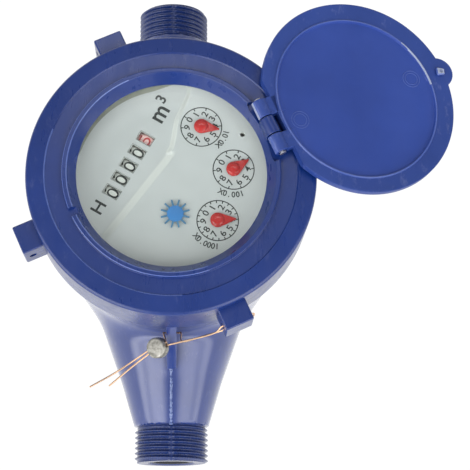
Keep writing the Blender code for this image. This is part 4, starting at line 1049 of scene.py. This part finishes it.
def frame_sides(along):
    """The four sides of a number window's printed frame."""
    margin = 0.12
    left, right = along + WINDOW_U[0] - margin, along + WINDOW_U[1] + margin
    low, high = WINDOW_V[0] - margin, WINDOW_V[1] + margin
    corners = [(left, low), (right, low), (right, high), (left, high)]
    return zip(corners, corners[1:] + corners[:1])


def make_drums():
    """Number drums with ten digits each. The last one has a toothed wheel and is red."""
    bore = 1.1
    for i, along in enumerate(DRUMS):
        name = "drum_%d" % (i + 1)
        last = i == len(DRUMS) - 1
        mat, ink = (pink_mat, red_ink_mat) if last else (drum_mat, ink_mat)
        shown, shift = (5.19, -0.2) if last else (0.094, -0.05)
        half = DRUM_PITCH / 2 - 0.15
        face = -half + 3.86
        points = [(bore, -half), (DRUM_RADIUS, -half), (DRUM_RADIUS, face), (5.1, face), (5.1, half),
                  (bore, half)]
        drum = lathe(name + "_shell", rounded(points, [0, 0.2, 0.2, 0, 0, 0], 2), 80)
        if last:
            teeth = [around((0, 0), 5.25 if k % 2 else 6.45, TURN * k / 40) for k in range(40)]
            wheel = prism("teeth", teeth, half - 0.3, half + 1.3)
            join(drum, cut(wheel, disc("bore", bore, 0, 9, 24)))
        at(drum, (*to_page(along, DRUM_LINE), DRUM_Z), spin=DRUM_AZ, tilt=quarter("Y"))
        dress(shade(drum), mat, name + "_body", [name])
        verts, faces = [], []
        for digit in range(10):
            outline, triangles = text_outline(str(digit), 4.0, 1.18, 0.0)
            first = len(verts)
            for u, v, _ in outline:
                angle = v / DRUM_RADIUS - TURN * (digit - shown) / 10
                height, across = around((DRUM_Z, DRUM_LINE), DRUM_RADIUS + 0.02, angle)
                verts.append((*to_page(along + u + shift, across), height))
            faces += [tuple(first + k for k in triangle) for triangle in triangles]
        dress(mesh_object(name + "_digits", verts, faces), ink, name + "_body")


POINTERS = [("litre", 3.5), ("ten_litre", 33.0), ("hundred_litre", -10.0)]  # headings in degrees
HUB, REACH = 2.4, 5.9
DOME = [(0, 92.7), (2.2, 92.7), (2.15, 93.3), (1.9, 93.55), (1.4, 93.75), (0.8, 93.87), (0, 93.9)]


def make_pointers():
    """Round hubs with a dome, and blades that leave them along their tangents."""
    tangent = math.acos(HUB / REACH)
    for (name, heading), centre in zip(POINTERS, SUB_DIALS):
        heading = math.radians(heading)
        middle = Vector(centre)
        sweep = TURN - 2 * tangent
        outline = [tuple(middle + polar(HUB, heading + tangent + sweep * k / 28)) for k in range(29)]
        tip = middle + polar(REACH, heading)
        side = polar(0.16, heading + TURN / 4)
        outline += [tuple(tip - side), tuple(tip + side)]
        blade = prism("pointer_%s_blade" % name, outline, 92.6, 93.3, 0.22, 2)
        join(blade, at(lathe("dome", DOME, 40), (*centre, 0)))
        dress(shade(blade, 45), red_mat, name, ["pointer_" + name])


def make_star():
    """The flow indicator: a disc with twelve straight rays."""
    base = at(disc("star_disc", 2.65, 92.62, 93.15, 48, 0.12), (*STAR, 0))
    dress(base, star_mat, "star", ["star_wheel"])
    rays = []
    for k in range(12):
        ray = prism("ray", [(2.3, -0.32), (4.7, -0.24), (4.7, 0.24), (2.3, 0.32)], 92.6, 93.1, 0.06)
        rays.append(at(ray, (*STAR, 0), spin=TURN * k / 12 + 0.26))
    dress(merged("star_rays", rays), ray_mat, "star")


# Seal

PELLET_AT = Vector((-4.4, -50.7, 70.0))
PELLET_RUN = Vector((0.82, 0.30, 0.49)).normalized()  # the way the strands run through it
STRAND_RADIUS = 0.28


def smooth(points, steps):
    """A curve through the points, with a number of steps for each span."""
    ends = [2 * points[0] - points[1]] + points + [2 * points[-1] - points[-2]]
    route = []
    for a, b, c, d in zip(ends, ends[1:], ends[2:], ends[3:]):
        for i in range(steps):
            u = i / steps
            route.append(0.5 * ((2 * b) + (c - a) * u + (2 * a - 5 * b + 4 * c - d) * u * u
                                + (3 * b - a - 3 * c + d) * u ** 3))
    return route + [points[-1]]


def wire_route():
    """Tail, pellet, lug, back under the lug, eye of the rib, pellet and the other tail."""
    centre = PELLET_AT
    side = PELLET_RUN.cross(Vector((0, 0, 1))).normalized() * 0.5
    azimuth = LUG_AZIMUTHS[-1]
    lug_at = Vector((*polar(LUG_HOLE[0], azimuth), LUG_HOLE[2]))
    half = LUG_HALF * Vector((*polar(1, azimuth + TURN / 4), 0))
    eye = Vector(EYE)
    through = PELLET_RUN * 3.6
    rib = Vector((2.72, 0, 0))
    tail = [centre + Vector((-15.9, -12.1, -3.0)), centre + Vector((-9.5, -6.4, -4.2)),
            centre - through + side]
    rise = [centre + through + side, lug_at - half + Vector((-3.4, -1.8, -4.0)), lug_at - half * 1.1]
    below = Vector((0, 0.9, -5.2))
    under = [rise[0].lerp(rise[1], part) + below for part in (0.75, 0.35)]
    back = [lug_at + half * 1.1, lug_at + half + Vector((1.5, 0.5, -2.2)),
            lug_at + half + Vector((0.6, 0.1, -7.2)), lug_at + Vector((-1.0, -0.6, -8.8)),
            *under, eye + rib + Vector((0.5, -0.3, 0.9)), eye + rib]
    hook = [eye - rib, centre + through - side]
    other = [centre - through - side, centre + Vector((-13.2, -6.9, -5.0)),
             centre + Vector((-22.0, -12.7, -1.0))]
    return [point for span in (tail, rise, back, hook, other) for point in smooth(span, 6)]


def make_seal():
    """The copper wire and the lead pellet pressed onto it, with its slot along the wire."""
    route = wire_route()
    curve = bpy.data.curves.new("seal_wire_strand", "CURVE")
    curve.dimensions = "3D"
    curve.bevel_depth = STRAND_RADIUS * MM
    curve.bevel_resolution = 4
    curve.use_fill_caps = True
    spline = curve.splines.new("POLY")
    spline.points.add(len(route) - 1)
    for spot, point in zip(spline.points, route):
        spot.co = (*(point * MM), 1)
    dress(new_object("seal_wire_strand", curve), copper_mat, HOUSING, ["seal_wire"])
    points = [(0, -1.9), (3.4, -1.9), (3.4, 1.8), (0, 1.8)]
    pellet = lathe("seal_pellet_shell", rounded(points, [0, 0.7, 0.7, 0], 4), 64)
    cut(pellet, block("slot", (-7, -1.15, -0.65), (7, 1.15, 0.65), 0.2))
    side = PELLET_RUN.cross(Vector((0, 0, 1))).normalized()
    upright = PELLET_RUN.cross(side).normalized()
    at(pellet, PELLET_AT, tilt=Matrix((PELLET_RUN, side, upright)).transposed().to_4x4())
    dress(shade(pellet, 50), lead_mat, HOUSING, ["seal_pellet"])


def finish_nodes():
    """Materials of the CAD nodes that stay as they are. Those without a look of their own are white."""
    looks = {
        "window": glass_mat, "window_gasket": rubber_mat, "body_gasket": rubber_mat,
        "register_cup": cup_mat, "pressure_plate": dark_mat, "inlet_strainer": dark_mat,
        "hinge_pin": steel_mat, "pivot_pin": steel_mat, "shield_ring": steel_mat,
        "drum_shaft": steel_mat, "carry_shaft": steel_mat,
        "drive_magnet": magnet_mat, "follower_magnet": magnet_mat}
    for name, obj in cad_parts.items():
        mat = looks.get(name, white_mat)
        if not obj.material_slots:
            obj.data.materials.append(mat)
        for slot in obj.material_slots:
            slot.material = mat


# Studio

FLOOR_REACH, FLOOR_Z = 1500, -0.2
GLOW_SHARE = 0.93  # the rest is diffuse and holds the shadow


def make_floor():
    """A white sheet that shows as the background and keeps a faint shadow."""
    n = Nodes("floor_look")
    n.tree.nodes.remove(n.shader)
    diffuse = n.new("ShaderNodeBsdfDiffuse", Color=(0.9, 0.9, 0.9, 1))
    glow = n.new("ShaderNodeEmission", Color=(1, 1, 1, 1), Strength=1.05)
    rays = n.new("ShaderNodeLightPath").outputs
    seen = n.math("MAXIMUM", rays["Is Camera Ray"], rays["Is Glossy Ray"])
    seen = n.math("MAXIMUM", seen, rays["Is Transmission Ray"])
    n.link(n.mix_shader(n.product(seen, GLOW_SHARE), diffuse, glow), n.surface)
    corners = [(x * FLOOR_REACH, y * FLOOR_REACH, FLOOR_Z) for x, y in ((-1, -1), (1, -1), (1, 1), (-1, 1))]
    floor = mesh_object("floor", corners, [(0, 1, 2, 3)])
    floor.data.materials.append(n.mat)


# Strengths of the light
LEFT_BOX = 3.8
RIGHT_BOX = 3.0
BACK_PANEL = 3.0
REAR_BAND = 0.45
CEILING = 0.38
BOX_GAP = 0.4  # how much darker the boxes are across their middle


def make_world():
    """White for the camera. For other rays: a tall soft box at each side of the inlet, a high narrow
    panel beyond the outlet, a low band behind and a dim ceiling all round."""
    world = bpy.data.worlds.new("studio")
    bpy.context.scene.world = world
    world.use_nodes = True
    world.node_tree.nodes.clear()
    w = Tree(world.node_tree)
    # x, y and z of the ray's direction, in the CAD frame
    x, y, z = w.new("ShaderNodeSeparateXYZ", Vector=w.new("ShaderNodeTexCoord").outputs["Generated"]).outputs
    boxes = w.total(w.product(w.step(x, 0.08, 0.36), RIGHT_BOX), w.product(w.step(x, -0.08, -0.36), LEFT_BOX))
    gap = w.product(w.between(z, 0.28, 0.38, 0.46, 0.56), BOX_GAP)
    front = w.product(w.step(y, -0.02, -0.28), w.between(z, -0.04, 0.20, 0.80, 0.93),
                      w.math("SUBTRACT", 1.0, gap), boxes)
    panel = w.product(w.step(w.math("ABSOLUTE", x), 0.34, 0.18), w.step(y, 0.1, 0.25),
                      w.between(z, 0.83, 0.90, 0.915, 0.94), BACK_PANEL)
    rear = w.product(w.step(y, 0.02, 0.28), w.between(z, -0.04, 0.10, 0.34, 0.46), REAR_BAND)
    lit = w.new("ShaderNodeBackground", Color=(1, 1, 1, 1), Strength=w.total(front, panel, rear, CEILING))
    white = w.new("ShaderNodeBackground", Color=(1, 1, 1, 1))
    camera_ray = w.new("ShaderNodeLightPath").outputs["Is Camera Ray"]
    w.new("ShaderNodeOutputWorld", Surface=w.mix_shader(camera_ray, lit, white))


make_camera()
make_floor()
make_world()
finish_nodes()
make_ring()
make_lid()
make_body()
make_dial()
make_print()
make_drums()
make_pointers()
make_star()
make_seal()

bpy.context.scene.view_settings.view_transform = "Standard"
